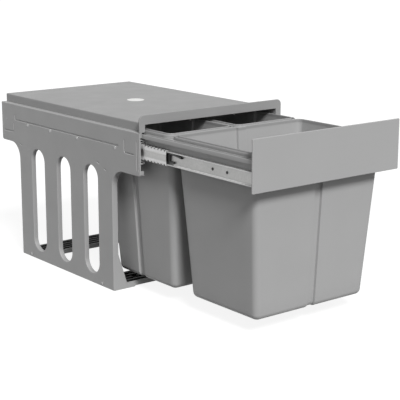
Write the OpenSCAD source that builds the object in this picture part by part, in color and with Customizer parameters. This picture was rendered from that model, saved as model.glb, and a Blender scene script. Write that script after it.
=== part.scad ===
// Pull-out waste bin for a sink cabinet, shown with the drawer drawn part of the way out.
// X runs across the cabinet, the drawer opens toward -Y and Z is up.
// The origin lies on the floor, at the middle of the four floor-fixing holes.

/* [Frame] */
// Width across the two side frames
frame_w = 342; // [320:1:400]
// Reach of the side frames behind the outer slide members
frame_tail = 8.5; // [6.5:0.5:38.5]
// Height of the side frames
frame_h = 320; // [310:1:360]
// Thickness of the frame sheet
sheet = 1.5; // [1.2:0.1:2]
// Height of the rail at the top of a side frame
rail_h = 81; // [76:1:90]
// Length of the leg under the rail
leg_len = 347; // [330:1:360]
// Distance from the front of the rail back to the leg
leg_setback = 91.5; // [80:0.5:100]
// Radius where the leg runs into the rail
leg_fillet_r = 33; // [20:1:45]
// Radius of the lower corners of the rail
rail_corner_r = 5; // [2:0.5:8]
// Depth of the flanges folded inward along the leg and the rail
flange_d = 12; // [8:0.5:14]
// Width of the flange the leg stands on
foot_flange_d = 31; // [24:1:40]
// Reach of the toe at each end of a foot
toe_d = 52; // [44:1:60]
// Height at which the foot gusset begins
gusset_h = 71; // [60:1:110]

/* [Leg slots] */
// Number of slots in each leg
slot_count = 3; // [1:1:3]
// Width of a slot
slot_w = 50; // [36:1:56]
// Distance between slot centres
slot_pitch = 99; // [90:1:108]
// Height of the lower end of the slots above the floor
slot_low_z = 20; // [20:1:60]
// Gap between the upper end of the slots and the middle line of the slides
slot_drop = 48; // [40:0.5:70]
// Depth of the rim folded inward round a slot
slot_rim_d = 9.5; // [5:0.5:11]

/* [Base bars] */
// Width of a base bar
bar_w = 64; // [54:1:70]
// Height of a base bar
bar_h = 9.5; // [9:0.5:12]
// Distance of the floor-fixing holes from the outside of the frame
floor_hole_inset = 71; // [64:1:90]
// Radius of the floor-fixing holes
floor_hole_r = 2.75; // [2:0.25:3.5]
// Number of ribs along a tread strip
tread_ribs = 5; // [3:1:6]
// Width of a tread rib
tread_rib_w = 5; // [3:0.5:6]

/* [Lid] */
// Distance from the outside of the frame to the side wall of the lid
lid_inset = 11; // [9:0.5:14]
// Height of the lid above the side frames
lid_rise = 16.65; // [15:0.05:24]
// Thickness of the lid
lid_t = 2.2; // [1.8:0.1:3]
// Gap from the back of the lid to the back of the frame
lid_back_gap = 1.5; // [1:0.5:12]
// Radius of the rear corners of the lid
lid_corner_r = 4; // [4:0.5:14]
// Height of the front collar above the lid
collar_rise = 15.55; // [8:0.05:24]
// Thickness of the front collar
collar_t = 3; // [2.5:0.1:5]
// Radius of the upper corners of the collar
collar_corner_r = 10; // [4:0.5:10.5]
// Radius of the cove behind the collar
cove_r = 12; // [6:0.5:15]
// Radius of the blank disc on the lid
disc_r = 17.5; // [10:0.5:25]
// Thickness of the blank disc
disc_t = 0.6; // [0.4:0.1:1]

/* [Slides] */
// Height of the outer slide member
slide_h = 45; // [45:0.1:46]
// Length of the stop buffer at the rear end of the outer slide member
buffer_len = 10; // [6:0.5:12]
// Depth from the middle line of the slides to the top of the drawer rails
slide_drop = 33; // [31:0.5:36]
// Travel of the inner stage from closed to the position shown
pull_len = 308; // [290:1:320]
// Diameter of the bearing balls
ball_d = 3.97; // [3.9:0.01:4]
// Distance between neighbouring balls
ball_pitch = 9.8; // [8:0.1:12]
// Number of balls in each group
ball_group = 7; // [4:1:9]
// Length of a ball cage
cage_len = 250; // [220:1:270]
// How far the inner ball cages stop short of the rear end of the inner members
cage_stop = 5; // [3:1:8]

/* [Drawer] */
// Thickness of the drawer rail sheet
rail_sheet = 1.2; // [1:0.1:1.5]
// Height of the web of a drawer rail
rail_web_h = 47.5; // [46:0.5:56]
// Reach of the rail lip over the slide
rail_lip_reach = 8.2; // [6:0.1:9]
// Height of the rail lip
rail_lip_h = 8; // [5:0.1:8.5]
// Width of the ledge that carries the bin rims
ledge_w = 5.1; // [4:0.1:5.3]
// Reach of the drawer rails behind the rear crossbar
rail_tail = 15.1; // [11.1:0.5:19.1]
// Depth of the front and rear ledges
end_ledge_d = 13; // [11:0.5:15]
// Height of the middle crossbar
crossbar_h = 20; // [12:1:30]

/* [Front panel] */
// Thickness of the front panel
panel_t = 3; // [2:0.1:4]
// Height of the front panel
panel_h = 90.7; // [85:0.1:110]
// How far the panel rises above the collar
panel_over = 1; // [0:0.1:4]
// Radius of the panel corners
panel_corner_r = 2; // [2:0.5:8]

/* [Bins] */
// Length of a bin at the top, front to back
bin_len = 216; // [208:1:217]
// Depth of a bin below its rim
bin_depth = 289.5; // [240:0.5:298]
// Wall thickness of a bin
bin_t = 2; // [1.6:0.1:2.6]
// How far each side wall leans in from top to bottom
bin_lean_x = 21; // [14:0.5:24]
// How far the front and back walls lean in from top to bottom
bin_lean_y = 18; // [12:0.5:24]
// Radius of the upright corners of a bin
bin_corner_r = 12; // [8:0.5:16]
// Radius of the bottom edge of a bin
bin_foot_r = 10; // [5:0.5:14]
// Width of the rim outside the wall
rim_w = 7; // [6:0.1:7.5]
// Height of the rim
rim_h = 8; // [6:0.1:8.5]
// Width of the upright groove in the long walls
groove_w = 18; // [14:0.5:28]
// Depth of the upright groove
groove_d = 5; // [3:0.1:7]
// Distance from the middle of a rear bin back to its grooves
groove_back = 12; // [0:0.5:20]

/* [Clearances] */
// Gap between the front panel and the collar when closed
close_gap = 1.5; // [1:0.1:3]
// Gap between the drawer rails and the top flange of the frame
run_gap = 1; // [0.6:0.1:2]
// Gap between a bin wall and the ledge beside it
bin_gap = 1.5; // [1:0.1:2]
// Gap between the rims of neighbouring bins
rim_gap = 0.9; // [0.5:0.1:2]
// Radial clearance of rivets, studs and screws in their holes
hole_clear = 0.05; // [0.02:0.01:0.1]
// Radial clearance of the release lever on its pin
pin_clear = 0.08; // [0.04:0.01:0.1]
// Gap between a ball and each of its races
ball_clear = 0.04; // [0.02:0.01:0.06]

/* [Hidden] */
$fn = 48;
eps = 0.01;

// Places across the width, measured from the middle
face_x = frame_w / 2;
web_x = face_x - sheet;
slide_t = 12.7;
rail_x = web_x - slide_t;
rail_in_x = rail_x - rail_sheet;
lip_x = rail_x + rail_lip_reach;
ledge_x = rail_in_x - ledge_w;
wall_x = ledge_x - bin_gap;
lid_x = face_x - lid_inset;
lid_seat = 2;
top_flange_x = lid_x - lid_seat;
end_flange_d = 9;
front_return_d = 2.4;
front_step_h = 10;

// Places along the depth
front_y = -leg_setback - leg_len / 2;
panel_back_y = front_y - close_gap - pull_len;
rails_y = panel_back_y + rail_sheet;
front_wall_y = rails_y + end_ledge_d + bin_gap;
middle_gap = 2 * rim_w + rim_gap;
rear_wall_y = front_wall_y + bin_len + middle_gap;
rear_bin_end_y = rear_wall_y + bin_len;
rear_bar_y = rear_bin_end_y + bin_gap;
rear_bar_end_y = rear_bar_y + end_ledge_d - 1;
rails_end_y = rear_bar_end_y + rail_tail;
bar_y = leg_len / 2 - sheet - bar_w / 2;

// Places in height
rail_z = frame_h - rail_h;
rail_top_z = frame_h - sheet - run_gap;
slide_z = rail_top_z - slide_drop;
slot_high_z = slide_z - slot_drop;
bin_z = rail_top_z - bin_depth;
lid_top_z = frame_h + lid_rise;
collar_top_z = lid_top_z + collar_rise;
panel_top_z = collar_top_z + panel_over;

// Sections of the slide members: depth s from the frame web, half heights h from the middle line
outer_t = 1.2;
middle_t = 1;
inner_t = 1.2;
cage_t = 0.6;
outer_race_h = slide_h / 2 - outer_t;
middle_out_h = outer_race_h - ball_d - 2 * ball_clear;
middle_race_h = middle_out_h - middle_t;
inner_out_h = middle_race_h - ball_d - 2 * ball_clear;
outer_ball_h = (outer_race_h + middle_out_h) / 2;
inner_ball_h = (middle_race_h + inner_out_h) / 2;
outer_d = 10.5;
outer_cage_s = 1.7;
outer_ball_s = 5.6;
middle_s = 2.8;
middle_end_s = 12.2;
inner_cage_s = 4.3;
inner_ball_s = 8;
inner_s = 5.6;
lip_clear = 0.6;

// Lengths and places of the slide members
rail_start = 1.3;
stop_gap = 0.5;
outer_y = front_y + sheet;
inner_y = rails_y + rail_start;
inner_end_y = rails_end_y + rail_start;
inner_len = inner_end_y - inner_y;
buffer_y = inner_end_y + pull_len + stop_gap;
outer_end_y = buffer_y + buffer_len;
middle_y = outer_y + 2.5;
middle_len = outer_end_y - outer_y - 20;
inner_cage_y = inner_end_y - cage_len - cage_stop;
outer_cage_y = outer_y + 10;

// Rear ends of the frame and the lid
back_y = outer_end_y + frame_tail;
lid_back_y = back_y - lid_back_gap;

// Rivets and screws of the slides, as distances from the front end of their member
outer_rivet_at = [78, 209.5, 310.5, 399.5];
inner_screw_at = [74, 112.5, inner_len - 160, inner_len - 38];
outer_rivet_drop = 2;
rivet_r = 2.35;
rivet_head_r = 3.8;
rivet_head_t = 0.9;
screw_r = 2;
screw_head_r = 2.7;
screw_head_t = 0.9;
nut_r = 3.6;
nut_t = 3;

// Release lever: pin place from the front end of the inner member, and its outline
lever_at = 247;
lever_y = inner_y + lever_at;
lever_s = 7.8;
lever_end_s = 11.2;
pin_r = 2;
pin_head_r = 3.4;
pin_head_t = 0.9;

frame_grey = [0.55, 0.55, 0.55];
bin_grey = [0.62, 0.62, 0.62];
lid_grey = [0.66, 0.66, 0.66];
steel = [0.78, 0.78, 0.78];
black = [0.12, 0.12, 0.12];

// Parts of the right side are drawn as they are and those of the left side mirrored
module on_side(side) {
    if (side > 0) children();
    else mirror([1, 0, 0]) children();
}

// Extrudes an outline drawn in Y and Z from x0 to x1
module across(x0, x1) {
    translate([x0, 0, 0]) rotate([90, 0, 90]) linear_extrude(x1 - x0) children();
}

// Extrudes an outline drawn in X and Z from y0 to y1
module along(y0, y1) {
    translate([0, y1, 0]) rotate([90, 0, 0]) linear_extrude(y1 - y0) children();
}

// Extrudes a slide section drawn in s and h from y0 to y1
module slide_bar(y0, y1) {
    translate([web_x, 0, slide_z]) along(y0, y1) mirror([1, 0]) children();
}

// Box between two corners
module block(a, b) {
    translate(a) cube(b - a);
}

// Round rod along X through y and z
module rod_x(x0, x1, y, z, r) {
    translate([x0, y, z]) rotate([0, 90, 0]) cylinder(h = x1 - x0, r = r);
}

// Rectangle with round corners
module round_rect(w, d, r) {
    square([w - 2 * r, d], center = true);
    square([w, d - 2 * r], center = true);
    for (x = [-1, 1], y = [-1, 1])
        translate([x * (w / 2 - r), y * (d / 2 - r)]) circle(r);
}

// Channel section, open toward greater s, with the ends of its flanges folded in
module channel(s0, s1, t, h, lip_h) {
    translate([s0, -h]) square([t, 2 * h]);
    for (side = [-1, 1]) {
        translate([s0, side > 0 ? h - t : -h]) square([s1 - s0, t]);
        translate([s1 - t, side > 0 ? lip_h : -h]) square([t, h - lip_h]);
    }
}

// Side frame

// Outline of a side frame, drawn in by t all round
module frame_outline(t = 0) {
    r = rail_corner_r;
    difference() {
        translate([front_y + t, rail_z + t]) square([back_y - front_y - 2 * t, rail_h - 2 * t]);
        for (end = [0, 1]) translate([end == 0 ? front_y : back_y, rail_z])
            mirror([end, 0]) difference() {
                translate([-eps, -eps]) square(r + eps);
                translate([r, r]) circle(r - t);
            }
    }
    translate([t - leg_len / 2, t]) square([leg_len - 2 * t, rail_z]);
    for (side = [0, 1]) mirror([side, 0]) difference() {
        translate([leg_len / 2 - t - eps, rail_z - leg_fillet_r])
            square([leg_fillet_r + t + eps, leg_fillet_r + t + eps]);
        translate([leg_len / 2 + leg_fillet_r, rail_z - leg_fillet_r]) circle(leg_fillet_r + t);
    }
}

// Outlines of the slots in a leg, grown by t
module slots(t = 0) {
    r = slot_w / 2;
    for (i = [0 : slot_count - 1]) translate([(i - (slot_count - 1) / 2) * slot_pitch, 0]) {
        translate([-r - t, slot_low_z + r]) square([slot_w + 2 * t, slot_high_z - slot_low_z - slot_w]);
        for (z = [slot_low_z + r, slot_high_z - r]) translate([0, z]) circle(r + t);
    }
}

// Flange of depth d along the part of the outline that lies in the window between two corners
module flange(d, a, b) {
    across(face_x - d, face_x) intersection() {
        difference() {
            frame_outline();
            frame_outline(sheet);
        }
        translate(a) square(b - a);
    }
}

// Lines pressed into the outside of the rail: the long crease and the outlines of the end pads
crease_w = 2.4;
crease_d = 0.6;
crease_up = 3;
crease_front_gap = 20;
crease_back_gap = 3.6;
crease_turn_h = 11;
front_pad_len = 48;
front_pad_drop = 7.7;
front_pad_h = 26.7;
front_line_in = 9.5;
front_line_h = 58;
front_line_drop = 36;
back_pad_len = 50.7;
back_pad_drop = 24.7;
back_pad_h = 22;
back_pad_edge = 8.3;
module creases() {
    w = crease_w;
    front_pad_y = front_y + front_pad_len;
    back_pad_y = back_y - back_pad_len;
    crease_y0 = front_pad_y + crease_front_gap;
    crease_y1 = back_pad_y - crease_back_gap;
    translate([crease_y0, slide_z + crease_up - w / 2]) square([crease_y1 - crease_y0, w]);
    translate([crease_y1 - w, slide_z + crease_up]) square([w, crease_turn_h]);
    translate([back_pad_y, slide_z - back_pad_drop]) square([w, back_pad_h]);
    translate([back_pad_y, slide_z - back_pad_drop]) square([back_pad_len - back_pad_edge, w]);
    translate([front_pad_y, slide_z - front_pad_drop]) square([w, front_pad_h]);
    translate([front_y + front_line_in, slide_z - front_pad_drop])
        square([front_pad_len - front_line_in + w / 2, w]);
    translate([front_y + front_line_in - w / 2, slide_z - front_line_drop]) square([w, front_line_h]);
}

// Tab under the lid screw: its reach inward and its length
lid_tab_w = 16;
lid_tab_len = 25;

module side_frame(side) {
    lid_tab_y = back_y - lid_tab_len;
    color(frame_grey) on_side(side) difference() {
        union() {
            across(web_x, face_x) difference() {
                frame_outline();
                slots();
            }
            across(face_x - slot_rim_d, face_x) difference() {
                slots(sheet);
                slots();
            }
            flange(flange_d, [front_y + sheet, sheet], [back_y - sheet, frame_h - sheet]);
            flange(face_x - top_flange_x, [front_y, frame_h - sheet], [back_y, frame_h]);
            flange(end_flange_d, [back_y - sheet, rail_z], [back_y, frame_h - sheet]);
            flange(end_flange_d, [front_y, rail_z], [front_y + sheet, rail_z + front_step_h]);
            flange(front_return_d, [front_y, rail_z], [front_y + sheet, slide_z + slide_h / 2]);
            flange(foot_flange_d, [-leg_len / 2, 0], [leg_len / 2, sheet]);
            for (end = [0, 1]) mirror([0, end, 0]) foot_gusset();
            block([top_flange_x - lid_tab_w, lid_tab_y, frame_h - sheet], [web_x, back_y - sheet, frame_h]);
        }
        across(face_x - crease_d, face_x + 1) creases();
        for (at = outer_rivet_at)
            rod_x(web_x - 1, face_x + 1, outer_y + at, slide_z - outer_rivet_drop, rivet_r + hole_clear);
        for (end = [-1, 1])
            rod_x(web_x - 1, face_x + 1, end * foot_rivet_y, foot_rivet_z, foot_rivet_r + hole_clear);
        translate([lid_screw_x, lid_screw_y, frame_h - sheet - 1])
            cylinder(h = sheet + 2, r = lid_screw_r + hole_clear);
        block([lid_tongue_x - 0.2, front_y - 1, frame_h - sheet - 1],
            [web_x, front_y + collar_t + 0.2, frame_h + 1]);
    }
}

// Gusset and toe that widen the front flange of a leg toward its foot
module foot_gusset() {
    in_x = face_x - flange_d;
    toe_x = face_x - toe_d;
    foot_x = face_x - foot_flange_d;
    toe_h = 6;
    foot_h = 11;
    along(-leg_len / 2, sheet - leg_len / 2) polygon([
        [in_x, gusset_h], [foot_x, foot_h], [toe_x, toe_h],
        [toe_x, 0], [face_x, 0], [face_x, gusset_h]
    ]);
}

// Base bars with their tread strips and foot rivets

foot_rivet_r = 2;
foot_rivet_z = 7;
foot_rivet_y = bar_y - 5;
tab_w = 30;

// Calls its children at the front base bar or at the rear one
module at_bar(end) {
    translate([0, end * bar_y, 0]) children();
}

module base_bar(end) {
    bar_x = web_x;
    rivet_off = end * (foot_rivet_y - bar_y);
    color(frame_grey) at_bar(end) difference() {
        union() {
            block([-bar_x, -bar_w / 2, sheet], [bar_x, bar_w / 2, 2 * sheet]);
            for (y = [-bar_w / 2, bar_w / 2 - sheet])
                block([-bar_x, y, sheet], [bar_x, y + sheet, sheet + bar_h]);
            for (side = [-1, 1]) {
                on_side(side) block([web_x - sheet, rivet_off - tab_w / 2, sheet],
                    [web_x, rivet_off + tab_w / 2, foot_rivet_z + 5]);
                translate([side * floor_hole_x, 0, 0]) cylinder(h = sheet + eps, r = floor_boss_r);
            }
        }
        for (side = [-1, 1]) {
            translate([side * floor_hole_x, 0, -1]) cylinder(h = 3 * sheet + 1, r = floor_hole_r);
            on_side(side)
                rod_x(web_x - 2 * sheet, web_x + 1, rivet_off, foot_rivet_z, foot_rivet_r + hole_clear);
        }
    }
}

floor_hole_x = face_x - floor_hole_inset;
floor_boss_r = 9;
tread_base_t = 2.4;

module base_tread(end) {
    tread_x = web_x - 4;
    tread_w = bar_w - 2 * sheet - 0.6;
    rib_pitch = (tread_w - tread_rib_w) / (tread_ribs - 1);
    z0 = 2 * sheet;
    color(black) at_bar(end) difference() {
        union() {
            block([-tread_x, -tread_w / 2, z0], [tread_x, tread_w / 2, z0 + tread_base_t]);
            for (i = [0 : tread_ribs - 1]) {
                y = i * rib_pitch - tread_w / 2;
                block([-tread_x, y, z0], [tread_x, y + tread_rib_w, sheet + bar_h - 1]);
            }
        }
        for (side = [-1, 1]) translate([side * floor_hole_x, 0, 0])
            cylinder(h = sheet + bar_h, r = floor_hole_r + 3);
    }
}

module base_rivets() {
    color(steel) for (side = [-1, 1], end = [-1, 1]) on_side(side) {
        y = end * foot_rivet_y;
        rod_x(web_x - sheet - 0.5, face_x + 0.5, y, foot_rivet_z, foot_rivet_r);
        rod_x(face_x, face_x + 1, y, foot_rivet_z, foot_rivet_r + 1.4);
        rod_x(web_x - sheet - 1.8, web_x - sheet, y, foot_rivet_z, foot_rivet_r + 0.9);
    }
}

// Lid

lid_screw_x = top_flange_x - 11.5;
lid_screw_y = back_y - 13.5;
lid_screw_r = 1.9;
lid_boss_r = 5;
lid_tongue_x = web_x - 4;
lid_tongue_h = 8;
lid_rib_h = 3;

// Lid screws: reach into the bosses, height of the head, and how much deeper their holes are
lid_screw_reach = 8;
lid_screw_head_h = 2;
lid_hole_tip = 2;
disc_y = -10;

// Plan of the lid, drawn in by t, with round rear corners
module lid_plan(t = 0) {
    x = lid_x - t;
    r = lid_corner_r - t;
    y1 = lid_back_y - t;
    translate([-x, front_y]) square([2 * x, y1 - r - front_y]);
    translate([r - x, front_y]) square([2 * (x - r), y1 - front_y]);
    for (side = [-1, 1]) translate([side * (x - r), y1 - r]) circle(r);
}

// Front view of the collar with its upper corners round
module collar_plan() {
    r = collar_corner_r;
    translate([-face_x, frame_h]) square([frame_w, collar_top_z - frame_h - r]);
    translate([r - face_x, frame_h]) square([frame_w - 2 * r, collar_top_z - frame_h]);
    for (side = [-1, 1]) translate([side * (face_x - r), collar_top_z - r]) circle(r);
}

module lid_cover() {
    under_z = lid_top_z - lid_t;
    color(lid_grey) difference() {
        union() {
            difference() {
                translate([0, 0, frame_h]) linear_extrude(lid_rise) lid_plan();
                translate([0, -lid_t, frame_h - 1]) linear_extrude(lid_rise - lid_t + 1) lid_plan(lid_t);
            }
            along(front_y, front_y + collar_t) difference() {
                collar_plan();
                translate([lid_t - lid_x, frame_h - 1]) square([2 * (lid_x - lid_t), lid_rise - lid_t + 1]);
            }
            across(-lid_x, lid_x) translate([front_y + collar_t - eps, lid_top_z - eps]) difference() {
                square(cove_r);
                translate([cove_r, cove_r]) circle(cove_r);
            }
            for (x = [-lid_x / 3, lid_x / 3])
                block([x - 1, front_y + collar_t, under_z - lid_rib_h],
                    [x + 1, lid_back_y - lid_t, under_z + eps]);
            for (side = [-1, 1]) on_side(side) {
                translate([lid_screw_x, lid_screw_y, frame_h])
                    cylinder(h = lid_rise - lid_t + eps, r = lid_boss_r);
                block([lid_tongue_x, front_y, frame_h - sheet - lid_tongue_h],
                    [web_x - 0.2, front_y + collar_t, frame_h + eps]);
            }
        }
        for (side = [-1, 1]) translate([side * lid_screw_x, lid_screw_y, frame_h - 1])
            cylinder(h = 1 + lid_screw_reach + lid_hole_tip, r = lid_screw_r + hole_clear);
    }
}

module lid_disc() {
    color("white") translate([0, disc_y, lid_top_z]) cylinder(h = disc_t, r = disc_r);
}

module lid_screws() {
    head_z = frame_h - sheet;
    color(steel) for (side = [-1, 1]) translate([side * lid_screw_x, lid_screw_y, 0]) {
        translate([0, 0, head_z - lid_screw_head_h]) cylinder(h = lid_screw_head_h, r = lid_screw_r + 1.2);
        translate([0, 0, head_z - 1]) cylinder(h = 1 + sheet + lid_screw_reach, r = lid_screw_r);
    }
}

// Slides

module slide_outer(side) {
    color(steel) on_side(side) difference() {
        slide_bar(outer_y, outer_end_y)
            channel(0, outer_d, outer_t, slide_h / 2, middle_out_h + lip_clear);
        for (at = outer_rivet_at)
            rod_x(web_x - 2, web_x + 1, outer_y + at, slide_z - outer_rivet_drop, rivet_r + hole_clear);
    }
}

module slide_outer_rivets() {
    color(steel) for (side = [-1, 1], at = outer_rivet_at) on_side(side) {
        rod_x(web_x - outer_t, face_x + 0.5, outer_y + at, slide_z - outer_rivet_drop, rivet_r);
        rod_x(face_x, face_x + rivet_head_t, outer_y + at, slide_z - outer_rivet_drop, rivet_head_r);
    }
}

module slide_buffer(side) {
    color(black) on_side(side) slide_bar(buffer_y, outer_end_y)
        translate([outer_t, -10]) square([9, 20]);
}

module slide_middle(side) {
    color(steel) on_side(side) slide_bar(middle_y, middle_y + middle_len)
        channel(middle_s, middle_end_s, middle_t, middle_out_h, inner_out_h + lip_clear);
}

// Distances of the balls from the front end of a cage: one group at each end
ball_places = [
    for (i = [0 : ball_group - 1]) each [5 + i * ball_pitch, cage_len - 5 - i * ball_pitch]
];

// Ball cage in a channel of half height h from depth s to s_end, with windows for the balls
module cage(s, s_end, h, ball_s, y0) {
    color(steel) difference() {
        slide_bar(y0, y0 + cage_len) {
            translate([s, -h]) square([cage_t, 2 * h]);
            for (z = [-h, h - cage_t]) translate([s, z]) square([s_end - s, cage_t]);
        }
        for (at = ball_places) translate([web_x - ball_s, y0 + at, slide_z - h - 1])
            cylinder(h = 2 * h + 2, r = ball_d / 2 + 0.1, $fn = 24);
    }
}

// Two rows of balls at half height h
module balls(h, ball_s, y0) {
    color("white") for (at = ball_places, z = [-h, h])
        translate([web_x - ball_s, y0 + at, slide_z + z]) sphere(d = ball_d, $fn = 24);
}

module outer_cage(side) {
    on_side(side) cage(outer_cage_s, 8.8, outer_ball_h - 0.3, outer_ball_s, outer_cage_y);
}

module outer_balls(side) {
    on_side(side) balls(outer_ball_h, outer_ball_s, outer_cage_y);
}

module inner_cage(side) {
    on_side(side) cage(inner_cage_s, 10.6, inner_ball_h - 0.3, inner_ball_s, inner_cage_y);
}

module inner_balls(side) {
    on_side(side) balls(inner_ball_h, inner_ball_s, inner_cage_y);
}

module slide_inner(side) {
    color(steel) on_side(side) difference() {
        slide_bar(inner_y, inner_end_y) {
            translate([slide_t - inner_t, -inner_out_h]) square([inner_t, 2 * inner_out_h]);
            for (z = [-inner_out_h, inner_out_h - inner_t])
                translate([inner_s, z]) square([slide_t - inner_s, inner_t]);
        }
        for (at = inner_screw_at)
            rod_x(rail_x - 1, rail_x + 2, inner_y + at, slide_z, screw_r + hole_clear);
        rod_x(rail_x - 1, rail_x + 2, lever_y, slide_z, pin_r + hole_clear);
    }
}

module slide_inner_screws() {
    seat_x = rail_x + inner_t;
    color(black) for (side = [-1, 1], at = inner_screw_at) on_side(side) difference() {
        union() {
            rod_x(rail_in_x - nut_t, seat_x + 0.3, inner_y + at, slide_z, screw_r);
            rod_x(seat_x, seat_x + screw_head_t, inner_y + at, slide_z, screw_head_r);
        }
        rod_x(seat_x + 0.3, seat_x + 2, inner_y + at, slide_z, 1.2);
    }
}

module slide_inner_nuts() {
    color(steel) for (side = [-1, 1], at = inner_screw_at) on_side(side) difference() {
        translate([rail_in_x - nut_t, inner_y + at, slide_z]) rotate([0, 90, 0])
            cylinder(h = nut_t, r = nut_r, $fn = 6);
        rod_x(rail_in_x - nut_t - 1, rail_in_x + 1, inner_y + at, slide_z, screw_r + hole_clear);
    }
}

// Release levers

module lever_pins() {
    color(steel) for (side = [-1, 1]) on_side(side) {
        rod_x(rail_x, web_x - lever_s + 0.4, lever_y, slide_z, pin_r);
        rod_x(web_x - lever_s + 0.4, web_x - lever_s + 0.4 + pin_head_t, lever_y, slide_z, pin_head_r);
    }
}

// Outline of the lever, with the pin at the origin and the front end toward -Y: a bar, an upright
// block with a short prong, a foot behind the pin and a slightly bowed finger
finger_r = 187.6;
finger_t = 3;
finger_drop = 177.5;
finger_reach = 51.5;
block_at = 17.5;
block_h = 18.6;
block_drop = 8.3;
bar_len = 56;
bar_rear = 40;
bar_thick = 8;
prong_len = 13;
foot_len = 10;

module lever_outline() {
    circle(6);
    translate([bar_rear - bar_len, -4.5]) square([bar_len, bar_thick]);
    translate([-block_at, -block_drop]) square([7, block_h]);
    translate([1 - block_at - prong_len, 0.3 - block_drop]) square([prong_len, 3.4]);
    translate([bar_rear - foot_len, 2]) square([foot_len, 4.5]);
    intersection() {
        translate([-17, -finger_drop]) difference() {
            circle(finger_r, $fn = 192);
            circle(finger_r - finger_t, $fn = 192);
        }
        translate([-finger_reach, 0]) square([finger_reach - block_at + 3, 12]);
    }
}

module release_lever(side) {
    color(black) on_side(side) translate([0, lever_y, slide_z]) difference() {
        across(web_x - lever_end_s, web_x - lever_s) lever_outline();
        rod_x(rail_x, web_x, 0, 0, pin_r + pin_clear);
    }
}

// Drawer

module drawer_rail(side) {
    color(frame_grey) on_side(side) difference() {
        along(rails_y, rails_end_y) {
            translate([rail_in_x, rail_top_z - rail_web_h]) square([rail_sheet, rail_web_h]);
            translate([ledge_x, rail_top_z - rail_sheet]) square([lip_x - ledge_x, rail_sheet]);
            translate([lip_x - rail_sheet, rail_top_z - rail_lip_h]) square([rail_sheet, rail_lip_h]);
        }
        for (at = inner_screw_at)
            rod_x(rail_in_x - 1, rail_x + 1, inner_y + at, slide_z, screw_r + hole_clear);
    }
}

stud_x = [-130, -60, 60, 130];
stud_r = 2;
stud_len = 8;
stud_z = slide_z + 8;

module crossbar_front() {
    color(frame_grey) difference() {
        union() {
            block([-lip_x, panel_back_y, rail_top_z - rail_web_h], [lip_x, rails_y, rail_top_z]);
            block([-ledge_x, rails_y - eps, rail_top_z - rail_sheet],
                [ledge_x, rails_y + end_ledge_d, rail_top_z]);
        }
        for (x = stud_x) translate([x, 0, stud_z])
            along(panel_back_y - 1, rails_y + 1) circle(stud_r + hole_clear);
    }
}

// Angle or channel bar between the drawer rails: a ledge from y0 to y1 with webs of height h
module bar_between(y0, y1, webs, h) {
    block([-ledge_x, y0, rail_top_z - rail_sheet], [ledge_x, y1, rail_top_z]);
    for (y = webs) {
        block([-ledge_x, y, rail_top_z - h], [ledge_x, y + rail_sheet, rail_top_z]);
        block([-rail_in_x, y, rail_top_z - h], [rail_in_x, y + rail_sheet, rail_top_z - rail_sheet]);
    }
}

module crossbar_middle() {
    y0 = front_wall_y + bin_len + bin_gap;
    y1 = rear_wall_y - bin_gap;
    color(frame_grey) bar_between(y0, y1, [y0, y1 - rail_sheet], crossbar_h);
}

module crossbar_rear() {
    color(frame_grey)
        bar_between(rear_bar_y, rear_bar_end_y, [rear_bar_end_y - rail_sheet], crossbar_h + 10);
}

module front_panel() {
    color(frame_grey) {
        translate([0, 0, panel_top_z - panel_h / 2]) along(panel_back_y - panel_t, panel_back_y)
            round_rect(frame_w, panel_h, panel_corner_r);
        for (x = stud_x) translate([x, 0, stud_z])
            along(panel_back_y - eps, panel_back_y + stud_len) circle(stud_r);
    }
}

module panel_nuts() {
    color(steel) for (x = stud_x) translate([x, 0, stud_z]) along(rails_y, rails_y + nut_t) difference() {
        circle(nut_r, $fn = 6);
        circle(stud_r + hole_clear);
    }
}

// Bins

rim_web_t = 3;
bead_w = 3.5;
foot_steps = 4;
groove_flank = 1.5;
groove_top_gap = 2.5;

// Solid of a tapered tub of top size w by d around the origin, drawn in by t
module tub(w, d, t, z0) {
    r = bin_corner_r - t / 2;
    f = bin_foot_r - t / 2;
    top = rail_top_z + rim_web_t;
    hull() {
        for (i = [0 : foot_steps]) {
            a = 90 * i / foot_steps;
            tub_ring(w, d, t, r, z0 + f * (1 - sin(a)), f * (1 - cos(a)), eps);
        }
        tub_ring(w, d, t, r, top - eps, 0, t > 0 ? 10 : eps);
    }
}

// Thin ring of corner discs of a tub at height z, drawn in by more than the lean
module tub_ring(w, d, t, r, z, more, h) {
    share = (rail_top_z - min(z, rail_top_z)) / bin_depth;
    x = w / 2 - t - bin_lean_x * share - more;
    y = d / 2 - t - bin_lean_y * share - more;
    for (i = [-1, 1], j = [-1, 1])
        translate([i * (x - r), j * (y - r), z]) cylinder(h = h, r = r, $fn = 32);
}

// Upright groove in the wall at half size w, with its sides grown by t
module groove(w, lean, t) {
    top = rail_top_z - groove_top_gap + t;
    floor_w = groove_w - 2 * groove_flank;
    open_w = groove_w + 2 * groove_flank / groove_d;
    hull() for (z = [bin_z - 1, top]) {
        share = (rail_top_z - z) / bin_depth;
        x = w - lean * share;
        translate([x - groove_d - t, 0, z]) cube([eps, floor_w + 2 * t, 1], center = true);
        translate([x + 1, 0, z]) cube([eps, open_w + 2 * t, 1], center = true);
    }
}

// The grooves of two opposite walls, moved along Y by shift
module grooves(half, lean, turn, shift, t) {
    translate([0, shift, 0]) for (a = [0, 180]) rotate(turn + a) groove(half, lean, t);
}

// Ring between plan sizes grown by a and b round the wall of a bin
module rim_ring(w, d, a, b, z0, z1) {
    translate([0, 0, z0]) linear_extrude(z1 - z0) difference() {
        round_rect(w + 2 * b, d + 2 * b, bin_corner_r + b);
        round_rect(w + 2 * a, d + 2 * a, bin_corner_r + a);
    }
}

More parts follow.
